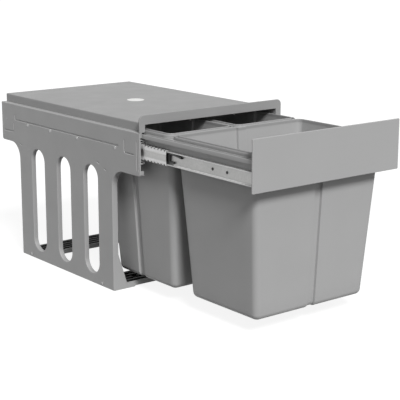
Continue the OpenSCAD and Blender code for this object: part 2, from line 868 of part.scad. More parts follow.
// Bin of top size w by d with a groove in each of its two longer walls
module bin(w, d, groove_shift) {
    wide = w > d;
    half = wide ? d / 2 : w / 2;
    lean = wide ? bin_lean_y : bin_lean_x;
    groove_turn = wide ? 90 : 0;
    z = rail_top_z;
    difference() {
        tub(w, d, 0, bin_z);
        difference() {
            tub(w, d, bin_t, bin_z + bin_t);
            grooves(half, lean, groove_turn, groove_shift, bin_t);
        }
        grooves(half, lean, groove_turn, groove_shift, 0);
    }
    rim_ring(w, d, -bin_t, rim_w, z, z + rim_web_t);
    rim_ring(w, d, rim_w - bead_w, rim_w, z, z + rim_h - 1.5);
    rim_ring(w, d, -bin_t, 0.5, z + rim_web_t - eps, z + rim_h);
}

rear_bin_w = wall_x - rim_w - rim_gap / 2;

module bin_front() {
    color(bin_grey) translate([0, front_wall_y + bin_len / 2, 0]) bin(2 * wall_x, bin_len, 0);
}

module bin_rear(side) {
    color(bin_grey) translate([side * (wall_x - rear_bin_w / 2), rear_wall_y + bin_len / 2, 0])
        bin(rear_bin_w, bin_len, groove_back);
}

side_frame(-1);  // side_frame_left
side_frame(1);  // side_frame_right
base_bar(-1);  // base_bar_front
base_bar(1);  // base_bar_rear
base_tread(-1);  // base_tread_front
base_tread(1);  // base_tread_rear
base_rivets();
lid_cover();
lid_disc();
lid_screws();
slide_outer(-1);  // slide_outer_left
slide_outer(1);  // slide_outer_right
slide_outer_rivets();
slide_buffer(-1);  // slide_buffer_left
slide_buffer(1);  // slide_buffer_right
slide_middle(-1);  // slide_middle_left
slide_middle(1);  // slide_middle_right
outer_cage(-1);  // outer_cage_left
outer_cage(1);  // outer_cage_right
outer_balls(-1);  // outer_balls_left
outer_balls(1);  // outer_balls_right
inner_cage(-1);  // inner_cage_left
inner_cage(1);  // inner_cage_right
inner_balls(-1);  // inner_balls_left
inner_balls(1);  // inner_balls_right
slide_inner(-1);  // slide_inner_left
slide_inner(1);  // slide_inner_right
slide_inner_screws();
slide_inner_nuts();
lever_pins();
release_lever(-1);  // release_lever_left
release_lever(1);  // release_lever_right
drawer_rail(-1);  // drawer_rail_left
drawer_rail(1);  // drawer_rail_right
crossbar_front();
crossbar_middle();
crossbar_rear();
front_panel();
panel_nuts();
bin_front();
bin_rear(-1);  // bin_rear_left
bin_rear(1);  // bin_rear_right
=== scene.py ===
"""Looks of a pull-out waste bin for a sink cabinet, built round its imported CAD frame.

All sizes are in millimetres in the frame of the CAD: X across, the drawer opens toward -Y, Z up.
They turn into metres as they go into a mesh, a material or the camera.
"""

import logging
import math
from collections.abc import Callable
from dataclasses import dataclass, field
from enum import Enum

import bpy
import numpy as np
from mathutils import Matrix
from mathutils.geometry import delaunay_2d_cdt


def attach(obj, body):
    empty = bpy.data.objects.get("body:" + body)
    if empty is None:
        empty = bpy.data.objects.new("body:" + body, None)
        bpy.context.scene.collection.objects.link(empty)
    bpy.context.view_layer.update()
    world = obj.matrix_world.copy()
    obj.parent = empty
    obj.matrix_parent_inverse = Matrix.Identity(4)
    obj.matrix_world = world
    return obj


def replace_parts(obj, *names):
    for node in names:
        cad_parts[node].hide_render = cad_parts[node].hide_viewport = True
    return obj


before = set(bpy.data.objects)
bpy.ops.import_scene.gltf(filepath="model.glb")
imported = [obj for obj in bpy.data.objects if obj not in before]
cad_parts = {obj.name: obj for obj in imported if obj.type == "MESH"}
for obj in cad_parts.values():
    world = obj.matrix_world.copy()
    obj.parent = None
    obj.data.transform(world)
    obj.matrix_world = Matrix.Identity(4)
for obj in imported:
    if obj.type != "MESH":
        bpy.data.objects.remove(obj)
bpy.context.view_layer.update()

log = logging.getLogger("waste_bin")
MM = 0.001

Array = np.ndarray
Tree = bpy.types.NodeTree
Socket = bpy.types.NodeSocket
# Rows of two coordinates and the radius that rounds the corner there
Corners = list[tuple[float, float, float]]
# From points in the plane of a sheet and depths under it to points in space
Surface = Callable[[Array, Array], Array]
# A pressed form: the outline round it, the points in it and their depths
Dent = tuple[Array, Array, Array]

# Lengths and areas below TINY count as nothing, points nearer than MERGE as one
TINY = 1e-9
MERGE = 1e-5
# A path that turns less than this angle runs straight on
STRAIGHT = 1e-6
# Least 1 + n1 . n2 of a mitre, which limits how far a sharp corner moves
MITRE_LIMIT = 0.35
# How much further a rounded end's flat cap is drawn in
CAP_INSET = 0.3


class Side(Enum):
    """The two sides of the bin, as the sign of X."""

    LEFT = -1
    RIGHT = 1

    @property
    def word(self) -> str:
        """The side's name as the CAD nodes write it."""
        return self.name.lower()


class Along(Enum):
    """Direction in which an outline is carried, with the axes of the outline's two coordinates."""

    X = (0, 1, 2)
    Y = (1, 0, 2)
    Z = (2, 0, 1)


# Shared places of the CAD, in millimetres
FACE_X = 171.0
WEB_X = 169.5
FRONT_Y = -265.0
BACK_Y = 245.0
FRAME_H = 320.0
SLIDE_Z = 284.5
RAIL_TOP_Z = 317.5
PANEL_BACK_Y = -574.5
RAILS_Y = -573.3


class Shell:
    """Points and faces of one piece while it is worked out, in millimetres."""

    def __init__(self) -> None:
        """Starts empty."""
        self.points: list[Array] = []
        self.faces: list[Array] = []
        self.count = 0

    def add(self, points: Array, *faces: Array) -> int:
        """Adds points with the faces between them.

        Args:
            points: Points as rows of three.
            faces: Index arrays, one row for each face, counted from the first of these points.

        Returns:
            The index of the first new point.
        """
        first = self.count
        self.points.append(np.asarray(points, float).reshape(-1, 3))
        self.faces.extend(np.atleast_2d(f) + first for f in faces if len(f))
        self.count += len(self.points[-1])
        return first

    def add_rings(self, rings: Array, capped: bool = True, looped: bool = False) -> None:
        """Adds closed rings joined by quads: face (i, j) joins rings i, i + 1 at points j, j + 1.

        Args:
            rings: Array of rings by points by three. Seen from outside, a ring's points go
                anticlockwise round the direction in which the rings follow each other.
            capped: Whether the first and last rings are closed with a flat face.
            looped: Whether the last ring joins the first.
        """
        n, m = rings.shape[:2]
        i = np.arange(n if looped else n - 1)[:, None]
        j = np.arange(m)[None, :]
        k, up = (j + 1) % m, (i + 1) % n
        quads = np.stack([i * m + j, i * m + k, up * m + k, up * m + j], -1).reshape(-1, 4)
        ends = [] if looped or not capped else [np.arange(m)[::-1], (n - 1) * m + np.arange(m)]
        self.add(rings.reshape(-1, 3), quads, *ends)

    def add_shell(self, other: "Shell") -> None:
        """Adds all of another shell."""
        self.add(np.concatenate(other.points), *other.faces)

    def turned(self) -> "Shell":
        """The same points with every face turned over.

        Returns:
            The turned shell.
        """
        made = Shell()
        made.points, made.count = list(self.points), self.count
        made.faces = [f[:, ::-1] for f in self.faces]
        return made

    def mirrored(self) -> "Shell":
        """The same shape on the other side of X = 0, with its faces still pointing outwards.

        Returns:
            The mirrored shell.
        """
        made = self.turned()
        made.points = [p * [-1, 1, 1] for p in self.points]
        return made

    def on_side(self, side: Side) -> "Shell":
        """This shell, drawn for the right side, on the side that is asked for."""
        return self if side is Side.RIGHT else self.mirrored()

    def piece(
        self, name: str, finish: "Finish", body: str, smooth_deg: float = 32
    ) -> bpy.types.Object:
        """Makes the Blender object in metres, smooth up to an angle, and puts it on its body.

        Args:
            name: Name of the piece.
            finish: The finish it wears.
            body: CAD body that it moves with.
            smooth_deg: Angle between faces above which an edge stays sharp.

        Returns:
            The object.
        """
        mesh = bpy.data.meshes.new(name)
        faces = [row for block in self.faces for row in block.tolist()]
        mesh.from_pydata((np.concatenate(self.points) * MM).tolist(), [], faces)
        mesh.validate()
        mesh.shade_smooth()
        mesh.set_sharp_from_angle(angle=math.radians(smooth_deg))
        mesh.materials.append(finish.material())
        made = bpy.data.objects.new(name, mesh)
        bpy.context.scene.collection.objects.link(made)
        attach(made, body)
        return made


def rounded(corners: Corners, closed: bool = True, steps: int = 6) -> Array:
    """Outline through corners with each one rounded by its own radius.

    At a corner turning by the angle a, the arc of radius r starts r tan(a / 2) before the corner
    and ends as far behind it.

    Args:
        corners: Rows of two coordinates and a radius.
        closed: Whether the last corner joins the first.
        steps: Segments in each arc.

    Returns:
        Points of the outline as rows of two.
    """
    rows = np.array(corners, float)
    p, radius = rows[:, :2], rows[:, 2]
    before, after = np.roll(p, 1, 0) - p, np.roll(p, -1, 0) - p
    before /= np.linalg.norm(before, axis=1, keepdims=True)
    after /= np.linalg.norm(after, axis=1, keepdims=True)
    out: list[Array] = []
    for i, r in enumerate(radius):
        end = not closed and i in (0, len(p) - 1)
        turn = math.pi - math.acos(float(np.clip(before[i] @ after[i], -1, 1)))
        if end or r <= 0 or turn < STRAIGHT:
            out.append(p[i : i + 1])
            continue
        reach = r * math.tan(turn / 2)
        start = p[i] + before[i] * reach
        halfway = before[i] + after[i]
        middle = p[i] + halfway / np.linalg.norm(halfway) * r / math.cos(turn / 2)
        spin = np.sign(before[i][0] * after[i][1] - before[i][1] * after[i][0])
        a = -spin * np.linspace(0, turn, steps + 1)
        c, s = np.cos(a), np.sin(a)
        arm = start - middle
        turned = np.stack([arm[0] * c - arm[1] * s, arm[0] * s + arm[1] * c], -1)
        out.append(middle + turned)
    return np.concatenate(out)


def resampled(loop: Array, step: float) -> Array:
    """Cuts the long sides of a closed outline into equal parts.

    Args:
        loop: The outline.
        step: Greatest length of a part.

    Returns:
        The outline with the new points in it.
    """
    following = np.roll(loop, -1, 0)
    parts = np.maximum(1, np.ceil(np.linalg.norm(following - loop, axis=1) / step)).astype(int)
    t = np.concatenate([np.arange(n) / n for n in parts])[:, None]
    return np.repeat(loop, parts, 0) * (1 - t) + np.repeat(following, parts, 0) * t


def signed_area(loop: Array) -> float:
    """Area of an outline, positive where its points go anticlockwise."""
    x, y = loop.T
    return float(x @ np.roll(y, -1) - y @ np.roll(x, -1)) / 2


def outward(loop: Array) -> Array:
    """Mitre vectors out of an outline: n = (n1 + n2) / (1 + n1 . n2) of the two sides at a point.

    Args:
        loop: The outline, anticlockwise.

    Returns:
        One vector for each point. Moved along them by 1, each side moves out by 1.
    """
    side = np.roll(loop, -1, 0) - loop
    side /= np.maximum(np.linalg.norm(side, axis=1, keepdims=True), TINY)
    n2 = np.stack([side[:, 1], -side[:, 0]], -1)
    n1 = np.roll(n2, 1, 0)
    return (n1 + n2) / np.maximum(1 + (n1 * n2).sum(1, keepdims=True), MITRE_LIMIT)


def carried(
    outline: Array, along: Along, start: float, stop: float, edge: float = 0.0, steps: int = 3
) -> Shell:
    """Prism of an outline carried straight along an axis, with its end edges rounded.

    The ring at the distance e (1 - cos a) from an end is drawn in by e (1 - sin a), for a from 0
    to 90 degrees.

    Args:
        outline: Closed outline in the two axes that along names.
        along: Direction of the prism.
        start: Where it starts.
        stop: Where it stops.
        edge: Radius e of the end edges.
        steps: Segments in that radius.

    Returns:
        The closed shell.
    """
    loop = outline if signed_area(outline) > 0 else outline[::-1]
    n = outward(loop)
    a = np.linspace(0, math.pi / 2, steps + 1) if edge > 0 else np.array([math.pi / 2])
    inset, away = edge * (1 - np.sin(a)), edge * (1 - np.cos(a))
    if edge > 0:
        inset, away = np.r_[edge + CAP_INSET, inset], np.r_[0.0, away]
    inset, place = np.r_[inset, inset[::-1]], np.r_[start + away, (stop - away)[::-1]]
    rings = np.empty((len(place), len(loop), 3))
    main, first, second = along.value
    rings[..., main] = place[:, None]
    rings[..., [first, second]] = loop[None] - n[None] * inset[:, None, None]
    made = Shell()
    made.add_rings(rings)
    return made.turned() if along is Along.Y else made


def strip(path: Corners, thickness: float) -> Array:
    """Section of a bent sheet: both sides of a path rounded at its bends.

    Args:
        path: Corners of the sheet's middle line with the bend radius at each.
        thickness: Thickness of the sheet.

    Returns:
        The closed outline.
    """
    line = rounded(path, closed=False)
    step = np.gradient(line, axis=0)
    step /= np.linalg.norm(step, axis=1, keepdims=True)
    side = np.stack([-step[:, 1], step[:, 0]], -1) * thickness / 2
    return np.concatenate([line + side, (line - side)[::-1]])


def turned_round(
    profile: list[tuple[float, float]], along: Along, centre: tuple[float, float], steps: int = 28
) -> Shell:
    """Surface of a profile turned round an axis: point (a, r) goes to a circle of radius r at a.

    Args:
        profile: Rows of place along the axis and radius, starting and ending near radius 0.
        along: Direction of the axis.
        centre: Where the axis stands, in the two axes that along names.
        steps: Points in a circle.

    Returns:
        The closed shell.
    """
    rows = np.array(profile, float)
    angle = np.arange(steps) * 2 * math.pi / steps
    main, first, second = along.value
    rings = np.empty((len(rows), steps, 3))
    rings[..., main] = rows[:, :1]
    rings[..., first] = centre[0] + rows[:, 1:] * np.cos(angle)
    rings[..., second] = centre[1] + rows[:, 1:] * np.sin(angle)
    made = Shell()
    made.add_rings(rings)
    outwards = rows[-1, 0] > rows[0, 0]
    return made if outwards is not (along is Along.Y) else made.turned()


def inside(points: Array, loop: Array) -> Array:
    """Tells which points lie in an outline: a ray along +x crosses an odd number of its sides.

    Args:
        points: Points as rows of two.
        loop: The outline.

    Returns:
        True for each point inside.
    """
    a, b = loop, np.roll(loop, -1, 0)
    py = points[:, 1:2]
    crosses = (a[None, :, 1] > py) != (b[None, :, 1] > py)
    rise = np.where(b[:, 1] == a[:, 1], TINY, b[:, 1] - a[:, 1])
    x = a[:, 0] + (py - a[:, 1]) * (b[:, 0] - a[:, 0]) / rise
    return (np.sum(crosses & (points[:, :1] < x), 1) % 2).astype(bool)


def filled(outer: Array, holes: list[Array]) -> tuple[Array, Array]:
    """Flat sheet between an outer outline and holes, as triangles by constrained Delaunay.

    Args:
        outer: The outer outline.
        holes: Outlines of the holes.

    Returns:
        Its points and its triangles, which point along the normal of the outline's plane.
    """
    loops = [outer, *holes]
    starts = np.cumsum([0, *map(len, loops)])
    edges = [
        (int(start + k), int(start + (k + 1) % len(loop)))
        for start, loop in zip(starts, loops)
        for k in range(len(loop))
    ]
    points, _, found, *_ = delaunay_2d_cdt(np.concatenate(loops).tolist(), edges, [], 0, MERGE)
    points = np.array([tuple(p) for p in points])
    found = np.array([tuple(f) for f in found])
    middle = points[found].mean(1)
    keep = inside(middle, outer)
    for hole in holes:
        keep &= ~inside(middle, hole)
    found = found[keep]
    a, b, c = points[found[:, 0]], points[found[:, 1]], points[found[:, 2]]
    area = (b[:, 0] - a[:, 0]) * (c[:, 1] - a[:, 1]) - (b[:, 1] - a[:, 1]) * (c[:, 0] - a[:, 0])
    found[area < 0] = found[area < 0][:, ::-1]
    return points, found[np.abs(area) > TINY]


def linear(hex_colour: str) -> tuple[float, float, float, float]:
    """An sRGB hex colour as linear RGBA: c / 12.92, or ((c + 0.055) / 1.055) ^ 2.4 over 0.04045.

    Args:
        hex_colour: The colour as #RRGGBB.

    Returns:
        Red, green, blue and alpha from 0 to 1.
    """
    c = np.array([int(hex_colour.lstrip("#")[i : i + 2], 16) for i in (0, 2, 4)]) / 255
    c = np.where(c <= 0.04045, c / 12.92, ((c + 0.055) / 1.055) ** 2.4)
    return (*map(float, c), 1.0)


def add_node(
    tree: Tree,
    kind: str,
    values: dict[int | str, object] | None = None,
    links: dict[int | str, Socket] | None = None,
    **settings: object,
) -> bpy.types.Node:
    """Adds one shader node.

    Args:
        tree: Node tree that takes it.
        kind: Its Blender type.
        values: Values of its input sockets, by name or index.
        links: Output sockets that feed its inputs, by name or index.
        settings: Its own settings.

    Returns:
        The node.
    """
    node = tree.nodes.new(kind)
    for key, value in settings.items():
        setattr(node, key, value)
    for key, value in (values or {}).items():
        node.inputs[key].default_value = value
    for key, source in (links or {}).items():
        tree.links.new(source, node.inputs[key])
    return node


def per_metre(size_mm: float) -> float:
    """Texture scale of a pattern whose repeat is size_mm on the object."""
    return 1 / (size_mm * MM)


def cloudy(size_mm: float, detail: float) -> dict[str, float]:
    """Values of a smooth noise whose clouds are size_mm wide on the object."""
    return {"Scale": per_metre(size_mm), "Detail": detail, "Roughness": 0.5}


def between(source: tuple[float, float], target: tuple[float, float]) -> dict[str, float]:
    """Values of the sockets that take one range to another."""
    return {"From Min": source[0], "From Max": source[1], "To Min": target[0], "To Max": target[1]}


# Kind of the node that makes a smooth noise
NOISE = "ShaderNodeTexNoise"
# Sockets of a colour Mix node: its factor, its two colours and its result
FACTOR, COLOUR_A, COLOUR_B, MIXED = 0, 6, 7, 2
# Settings of a Mix node that multiplies colours
MULTIPLY = {"data_type": "RGBA", "blend_type": "MULTIPLY"}
# Values between which nearly all of a noise lies, and those of its rare peaks
NOISE_RANGE = (0.3, 0.7)
NOISE_PEAKS = (0.58, 0.72)

_made: dict[str, bpy.types.Material] = {}


@dataclass(frozen=True)
class Finish:
    """A real material and how its surface was made.

    The base colour drifts between shade and tint over cloud_mm, the roughness between the two
    values of rough over rub_mm, and grain_mm is the size of the relief that catches the light. All
    sizes are millimetres on the object.
    """

    name: str
    slot: str
    shade: str
    tint: str
    rough: tuple[float, float]
    ior: float = 1.5
    metallic: float = 0.0
    cloud_mm: float = 90.0
    rub_mm: float = 35.0
    grain_mm: float = 1.2
    grain_depth: float = 0.02
    grain_strength: float = 0.25
    specular: float = 0.5
    stretch: tuple[float, float, float] = (1.0, 1.0, 1.0)

    def material(self) -> bpy.types.Material:
        """The Blender material, made once.

        Returns:
            The material, with its nodes.
        """
        if self.name not in _made:
            made = bpy.data.materials.new(self.name)
            made.use_nodes = True
            made.node_tree.nodes.clear()
            self.dress(made.node_tree)
            _made[self.name] = made
        return _made[self.name]

    def dress(self, tree: Tree) -> None:
        """Builds the nodes: drift of colour, drift of gloss and relief.

        Args:
            tree: The material's empty node tree.
        """
        place = add_node(tree, "ShaderNodeTexCoord").outputs["Object"]
        cloud = add_node(tree, NOISE, cloudy(self.cloud_mm, detail=3.0), {"Vector": place})
        values = {COLOUR_A: linear(self.shade), COLOUR_B: linear(self.tint)}
        links = {FACTOR: cloud.outputs["Fac"]}
        colour = add_node(tree, "ShaderNodeMix", values, links, data_type="RGBA").outputs[MIXED]
        links = {"Vector": self.stretched(tree, place)}
        rub = add_node(tree, NOISE, cloudy(self.rub_mm, detail=4.0), links)
        values, links = between(NOISE_RANGE, self.rough), {"Value": rub.outputs["Fac"]}
        gloss = add_node(tree, "ShaderNodeMapRange", values, links)
        depth = {"Strength": self.grain_strength, "Distance": self.grain_depth * MM}
        bump = add_node(tree, "ShaderNodeBump", depth, {"Height": self.relief(tree, place)})
        values = {"Metallic": self.metallic, "IOR": self.ior, "Specular IOR Level": self.specular}
        links = {
            "Base Color": self.marked(tree, place, colour),
            "Roughness": gloss.outputs["Result"],
            "Normal": bump.outputs["Normal"],
            **self.metal(tree, place),
        }
        shader = add_node(tree, "ShaderNodeBsdfPrincipled", values, links)
        add_node(tree, "ShaderNodeOutputMaterial", links={"Surface": shader.outputs["BSDF"]})

    def stretched(self, tree: Tree, place: Socket) -> Socket:
        """The place, drawn out along the direction in which the surface was worked.

        Args:
            tree: The material's node tree.
            place: Object coordinates.

        Returns:
            The drawn out coordinates, or the place as it is for a surface without a direction.
        """
        if self.stretch == (1.0, 1.0, 1.0):
            return place
        values = {"Scale": self.stretch}
        return add_node(tree, "ShaderNodeMapping", values, {"Vector": place}).outputs["Vector"]

    def relief(self, tree: Tree, place: Socket) -> Socket:
        """The height of the fine relief, whose depth is grain_depth: a noise of grain_mm."""
        links = {"Vector": self.stretched(tree, place)}
        return add_node(tree, NOISE, cloudy(self.grain_mm, detail=2.0), links).outputs["Fac"]

    def marked(self, tree: Tree, place: Socket, colour: Socket) -> Socket:
        """The colour with the marks of this finish, if it has any."""
        return colour

    def metal(self, tree: Tree, place: Socket) -> dict[str, Socket]:
        """Link for the metallic share, where it isn't the same all over."""
        return {}


@dataclass(frozen=True)
class PowderCoat(Finish):
    """Baked powder paint on sheet steel: an orange-peel skin with fine darker specks of pigment.

    Real specks are a few tenths of a millimetre, too fine to show, so they are drawn coarser.
    """

    speck_mm: float = 1.6
    speck: float = 0.05

    def marked(self, tree: Tree, place: Socket, colour: Socket) -> Socket:
        """The colour darkened in specks, where a fine noise peaks.

        Args:
            tree: The material's node tree.
            place: Object coordinates.
            colour: The plain colour.

        Returns:
            The colour with its specks.
        """
        fine = add_node(tree, NOISE, cloudy(self.speck_mm, detail=1.0), {"Vector": place})
        values, links = between(NOISE_PEAKS, (0.0, self.speck)), {"Value": fine.outputs["Fac"]}
        mask = add_node(tree, "ShaderNodeMapRange", values, links).outputs["Result"]
        pigment, links = {COLOUR_B: linear(self.shade)}, {FACTOR: mask, COLOUR_A: colour}
        return add_node(tree, "ShaderNodeMix", pigment, links, **MULTIPLY).outputs[MIXED]


@dataclass(frozen=True)
class SparkedPlastic(Finish):
    """Injection-moulded plastic from a spark-eroded mould: tiny pits that dull the gloss.

    Real pits are about a tenth of a millimetre, too fine to show, so they are drawn coarser.
    """

    pit_mm: float = 0.9

    def relief(self, tree: Tree, place: Socket) -> Socket:
        """Pits from the distance to the nearest cell centre of a Voronoi pattern of pit_mm."""
        values = {"Scale": per_metre(self.pit_mm)}
        return add_node(tree, "ShaderNodeTexVoronoi", values, {"Vector": place}).outputs["Distance"]


@dataclass(frozen=True)
class DrawnPlastic(Finish):
    """Plain moulded plastic that was pulled off a polished core: faint upright drag lines.

    The rim, above the height rim_z, is darkened by a share: painted shade over the rim.
    """

    drag_mm: float = 2.2
    drag_stretch: tuple[float, float, float] = (1.0, 1.0, 0.02)
    rim_z: float = RAIL_TOP_Z + 1.0
    rim_fade: float = 2.0
    # Share by which painted shade darkens the rim
    rim_painted_shade: float = 0.22

    def relief(self, tree: Tree, place: Socket) -> Socket:
        """The sum of the peel and of drag lines, a noise drawn out upright.

        Args:
            tree: The material's node tree.
            place: Object coordinates.

        Returns:
            The height.
        """
        values = {"Scale": self.drag_stretch}
        upright = add_node(tree, "ShaderNodeMapping", values, {"Vector": place})
        links = {"Vector": upright.outputs["Vector"]}
        lines = add_node(tree, NOISE, cloudy(self.drag_mm, detail=2.0), links)
        peel = add_node(tree, NOISE, cloudy(self.grain_mm, detail=2.0), {"Vector": place})
        links = {0: lines.outputs["Fac"], 1: peel.outputs["Fac"]}
        return add_node(tree, "ShaderNodeMath", links=links, operation="ADD").outputs[0]

    def marked(self, tree: Tree, place: Socket, colour: Socket) -> Socket:
        """The colour, darkened over the rim by painted shade.

        Args:
            tree: The material's node tree.
            place: Object coordinates.
            colour: The plain colour.

        Returns:
            The colour with painted shade over its rim.
        """
        z = add_node(tree, "ShaderNodeSeparateXYZ", links={0: place}).outputs["Z"]
        fade = (self.rim_z * MM, (self.rim_z + self.rim_fade) * MM)
        values = between(fade, (1.0, 1.0 - self.rim_painted_shade))
        level = add_node(tree, "ShaderNodeMapRange", values, {"Value": z}).outputs["Result"]
        links = {COLOUR_A: colour, COLOUR_B: level}
        return add_node(tree, "ShaderNodeMix", {FACTOR: 1.0}, links, **MULTIPLY).outputs[MIXED]


@dataclass(frozen=True)
class PlatedSteel(Finish):
    """Cold-rolled steel with bright zinc: rolling lines along the strip and a faint spangle.

    A slide member or cage also has races. From the first to the second of these heights over and
    under the slide's middle line, the zinc is drawn paler and less metallic: a painted highlight.
    """

    spangle_mm: float = 3.5
    spangle: float = 0.1
    races: tuple[float, float] | None = None
    # Pale tint and metallic share of the painted highlight in the races
    race_highlight_tint: str = "#D8D8D8"
    race_highlight_metallic: float = 0.35

    def race_highlight(self, tree: Tree, place: Socket, low: float, high: float) -> Socket:
        """A ramp for the painted highlight: from low in the web to high in the races, by the height
        |z - middle|.

        Args:
            tree: The material's node tree.
            place: Object coordinates.
            low: Value in the web.
            high: Value in the races.

        Returns:
            The value.
        """
        z = add_node(tree, "ShaderNodeSeparateXYZ", links={0: place}).outputs["Z"]
        middle = {1: SLIDE_Z * MM}
        off = add_node(tree, "ShaderNodeMath", middle, {0: z}, operation="SUBTRACT").outputs[0]
        height = add_node(tree, "ShaderNodeMath", links={0: off}, operation="ABSOLUTE").outputs[0]
        near, far = self.races
        values = between((near * MM, far * MM), (low, high))
        return add_node(tree, "ShaderNodeMapRange", values, {"Value": height}).outputs["Result"]

    def metal(self, tree: Tree, place: Socket) -> dict[str, Socket]:
        """Link for the metallic share, which is lower in the races as part of the painted
        highlight.

        Args:
            tree: The material's node tree.
            place: Object coordinates.

        Returns:
            The link, or nothing for a finish without races.
        """
        if self.races is None:
            return {}
        return {"Metallic": self.race_highlight(tree, place, self.metallic, self.race_highlight_metallic)}

    def marked(self, tree: Tree, place: Socket, colour: Socket) -> Socket:
        """The colour, paler in the races as a painted highlight, and a little darker in one zinc
        crystal than the next.

        Args:
            tree: The material's node tree.
            place: Object coordinates.
            colour: The plain colour.

        Returns:
            The colour with its painted highlight in the races and its spangle.
        """
        if self.races is not None:
            # Painted highlight: the colour is mixed toward a pale tint in the races
            painted_highlight = {COLOUR_B: linear(self.race_highlight_tint)}
            links = {FACTOR: self.race_highlight(tree, place, 0.0, 1.0), COLOUR_A: colour}
            colour = add_node(tree, "ShaderNodeMix", painted_highlight, links, data_type="RGBA").outputs[MIXED]
        scale = {"Scale": per_metre(self.spangle_mm)}
        cells = add_node(tree, "ShaderNodeTexVoronoi", scale, {"Vector": place}).outputs["Color"]
        values = between((0.0, 1.0), (1.0 - self.spangle, 1.0))
        level = add_node(tree, "ShaderNodeMapRange", values, {"Value": cells}).outputs["Result"]
        links = {COLOUR_A: colour, COLOUR_B: level}
        return add_node(tree, "ShaderNodeMix", {FACTOR: 1.0}, links, **MULTIPLY).outputs[MIXED]


# Sheet steel with baked polyester powder paint: satin, with an orange peel that softens highlights
FRAME_PAINT = PowderCoat(
    "painted_sheet_steel", "frame_paint", "#A7A7A7", "#ADADAD", (0.44, 0.54),
    grain_mm=1.4, grain_depth=0.03,
)
# The same paint on the flat front plate, laid a little smoother
PANEL_PAINT = PowderCoat(
    "painted_front_plate", "panel_paint", "#A9A9A9", "#AFAFAF", (0.40, 0.50),
    grain_mm=1.8, grain_depth=0.03, cloud_mm=140,
)
# ABS moulded against a fine spark-eroded surface: dull, even, no mirror image in it
LID_PLASTIC = SparkedPlastic(
    "spark_textured_abs", "lid_plastic", "#9B9B9B", "#A0A0A0", (0.50, 0.60),
    grain_depth=0.03, grain_strength=0.35, specular=0.25,
)
# Polypropylene off a smooth mould: soft sheen, slightly waxy, drag lines down the draft, painted
# shade on the rim
BIN_PLASTIC = DrawnPlastic(
    "moulded_polypropylene", "bin_plastic", "#AEAEAE", "#B4B4B4", (0.40, 0.52), ior=1.49,
    grain_mm=2.4, grain_depth=0.02, specular=0.25,
)
# Soft black PVC tread: matt, dusty on top of the ribs
# Its near-black is partly the tread's own colour and partly painted shade from the bins and lid
# above the base bars
TREAD_RUBBER = Finish(
    "ribbed_soft_pvc", "tread_plastic", "#141414", "#242424", (0.55, 0.75),
    cloud_mm=14, grain_mm=0.8, grain_depth=0.05,
)
# Acetal with black pigment: smooth, low gloss
BLACK_ACETAL = SparkedPlastic(
    "moulded_black_acetal", "black_plastic", "#151515", "#1E1E1E", (0.36, 0.5), ior=1.48,
    cloud_mm=20, grain_depth=0.02,
)
# White vinyl disc: calendered film, nearly even, with a slight ripple
WHITE_VINYL = Finish(
    "calendered_white_vinyl", "disc_plastic", "#E4E4E2", "#EEEEEC", (0.3, 0.42),
    cloud_mm=16, grain_mm=3.0, grain_depth=0.02,
)
# Bright zinc on cold-rolled strip: metallic, with lines drawn out along the slide
# Its colour drift in 60 mm clouds is a painted reflection of an uneven studio; its paler races are
# a painted highlight
SLIDE_ZINC = PlatedSteel(
    "zinc_plated_strip", "slide_zinc", "#9E9E9D", "#BEBEBD", (0.36, 0.48), metallic=0.85,
    grain_mm=2.0, grain_depth=0.01, grain_strength=0.2, stretch=(6.0, 0.05, 6.0),
    rub_mm=30, cloud_mm=60, races=(9.6, 10.8),
)
# Thin pressed cage strip, the same zinc a little duller from the press
# The paler tint at its races is a painted highlight on the cage's bent edges
CAGE_ZINC = PlatedSteel(
    "zinc_plated_cage", "cage_zinc", "#A4A4A3", "#B2B2B1", (0.34, 0.48), metallic=1.0,
    grain_mm=2.0, grain_depth=0.01, grain_strength=0.2, stretch=(4.0, 0.1, 4.0),
    rub_mm=20, races=(5.0, 8.5), race_highlight_tint="#E6E6E6",
)
# Ground bearing steel under a film of dark grease
BALL_STEEL = Finish(
    "greased_ball_steel", "ball_steel", "#4A4A4A", "#5C5C5C", (0.16, 0.3), metallic=1.0,
    cloud_mm=3, grain_mm=1.0, grain_depth=0.002,
)
# Zinc plated fasteners: bright with a cast of handling
SCREW_ZINC = PlatedSteel(
    "zinc_plated_fastener", "screw_zinc", "#B2B4B4", "#C2C4C4", (0.3, 0.45), metallic=1.0,
    rub_mm=6, grain_mm=0.8, grain_depth=0.01, spangle_mm=1.5,
)
# Phosphated screws: dark, matt and slightly mottled
SCREW_BLACK = Finish(
    "phosphated_screw", "screw_black", "#1A1A1A", "#2C2C2C", (0.45, 0.6),
    cloud_mm=2, grain_mm=0.5, grain_depth=0.02,
)
# Aluminium blind rivets with a tumbled, pale surface
RIVET_METAL = Finish(
    "tumbled_aluminium_rivet", "rivet_metal", "#9E9E9E", "#AAAAAA", (0.35, 0.5), metallic=1.0,
    cloud_mm=3, grain_mm=0.7, grain_depth=0.02,
)


def dress_node(node: str, finish: Finish) -> None:
    """Gives a CAD node that is carried over its finish, through its own material slots.

    Args:
        node: Name of the node.
        finish: What it wears.
    """
    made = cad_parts[node]
    if not made.material_slots:
        made.data.materials.append(finish.material())
    for held in made.material_slots:
        held.material = finish.material()
    log.info("%s: carried over in %s", node, finish.name)


def smooth_step(x: Array) -> Array:
    """3 x^2 - 2 x^3 between 0 and 1, level outside."""
    x = np.clip(x, 0, 1)
    return x * x * (3 - 2 * x)


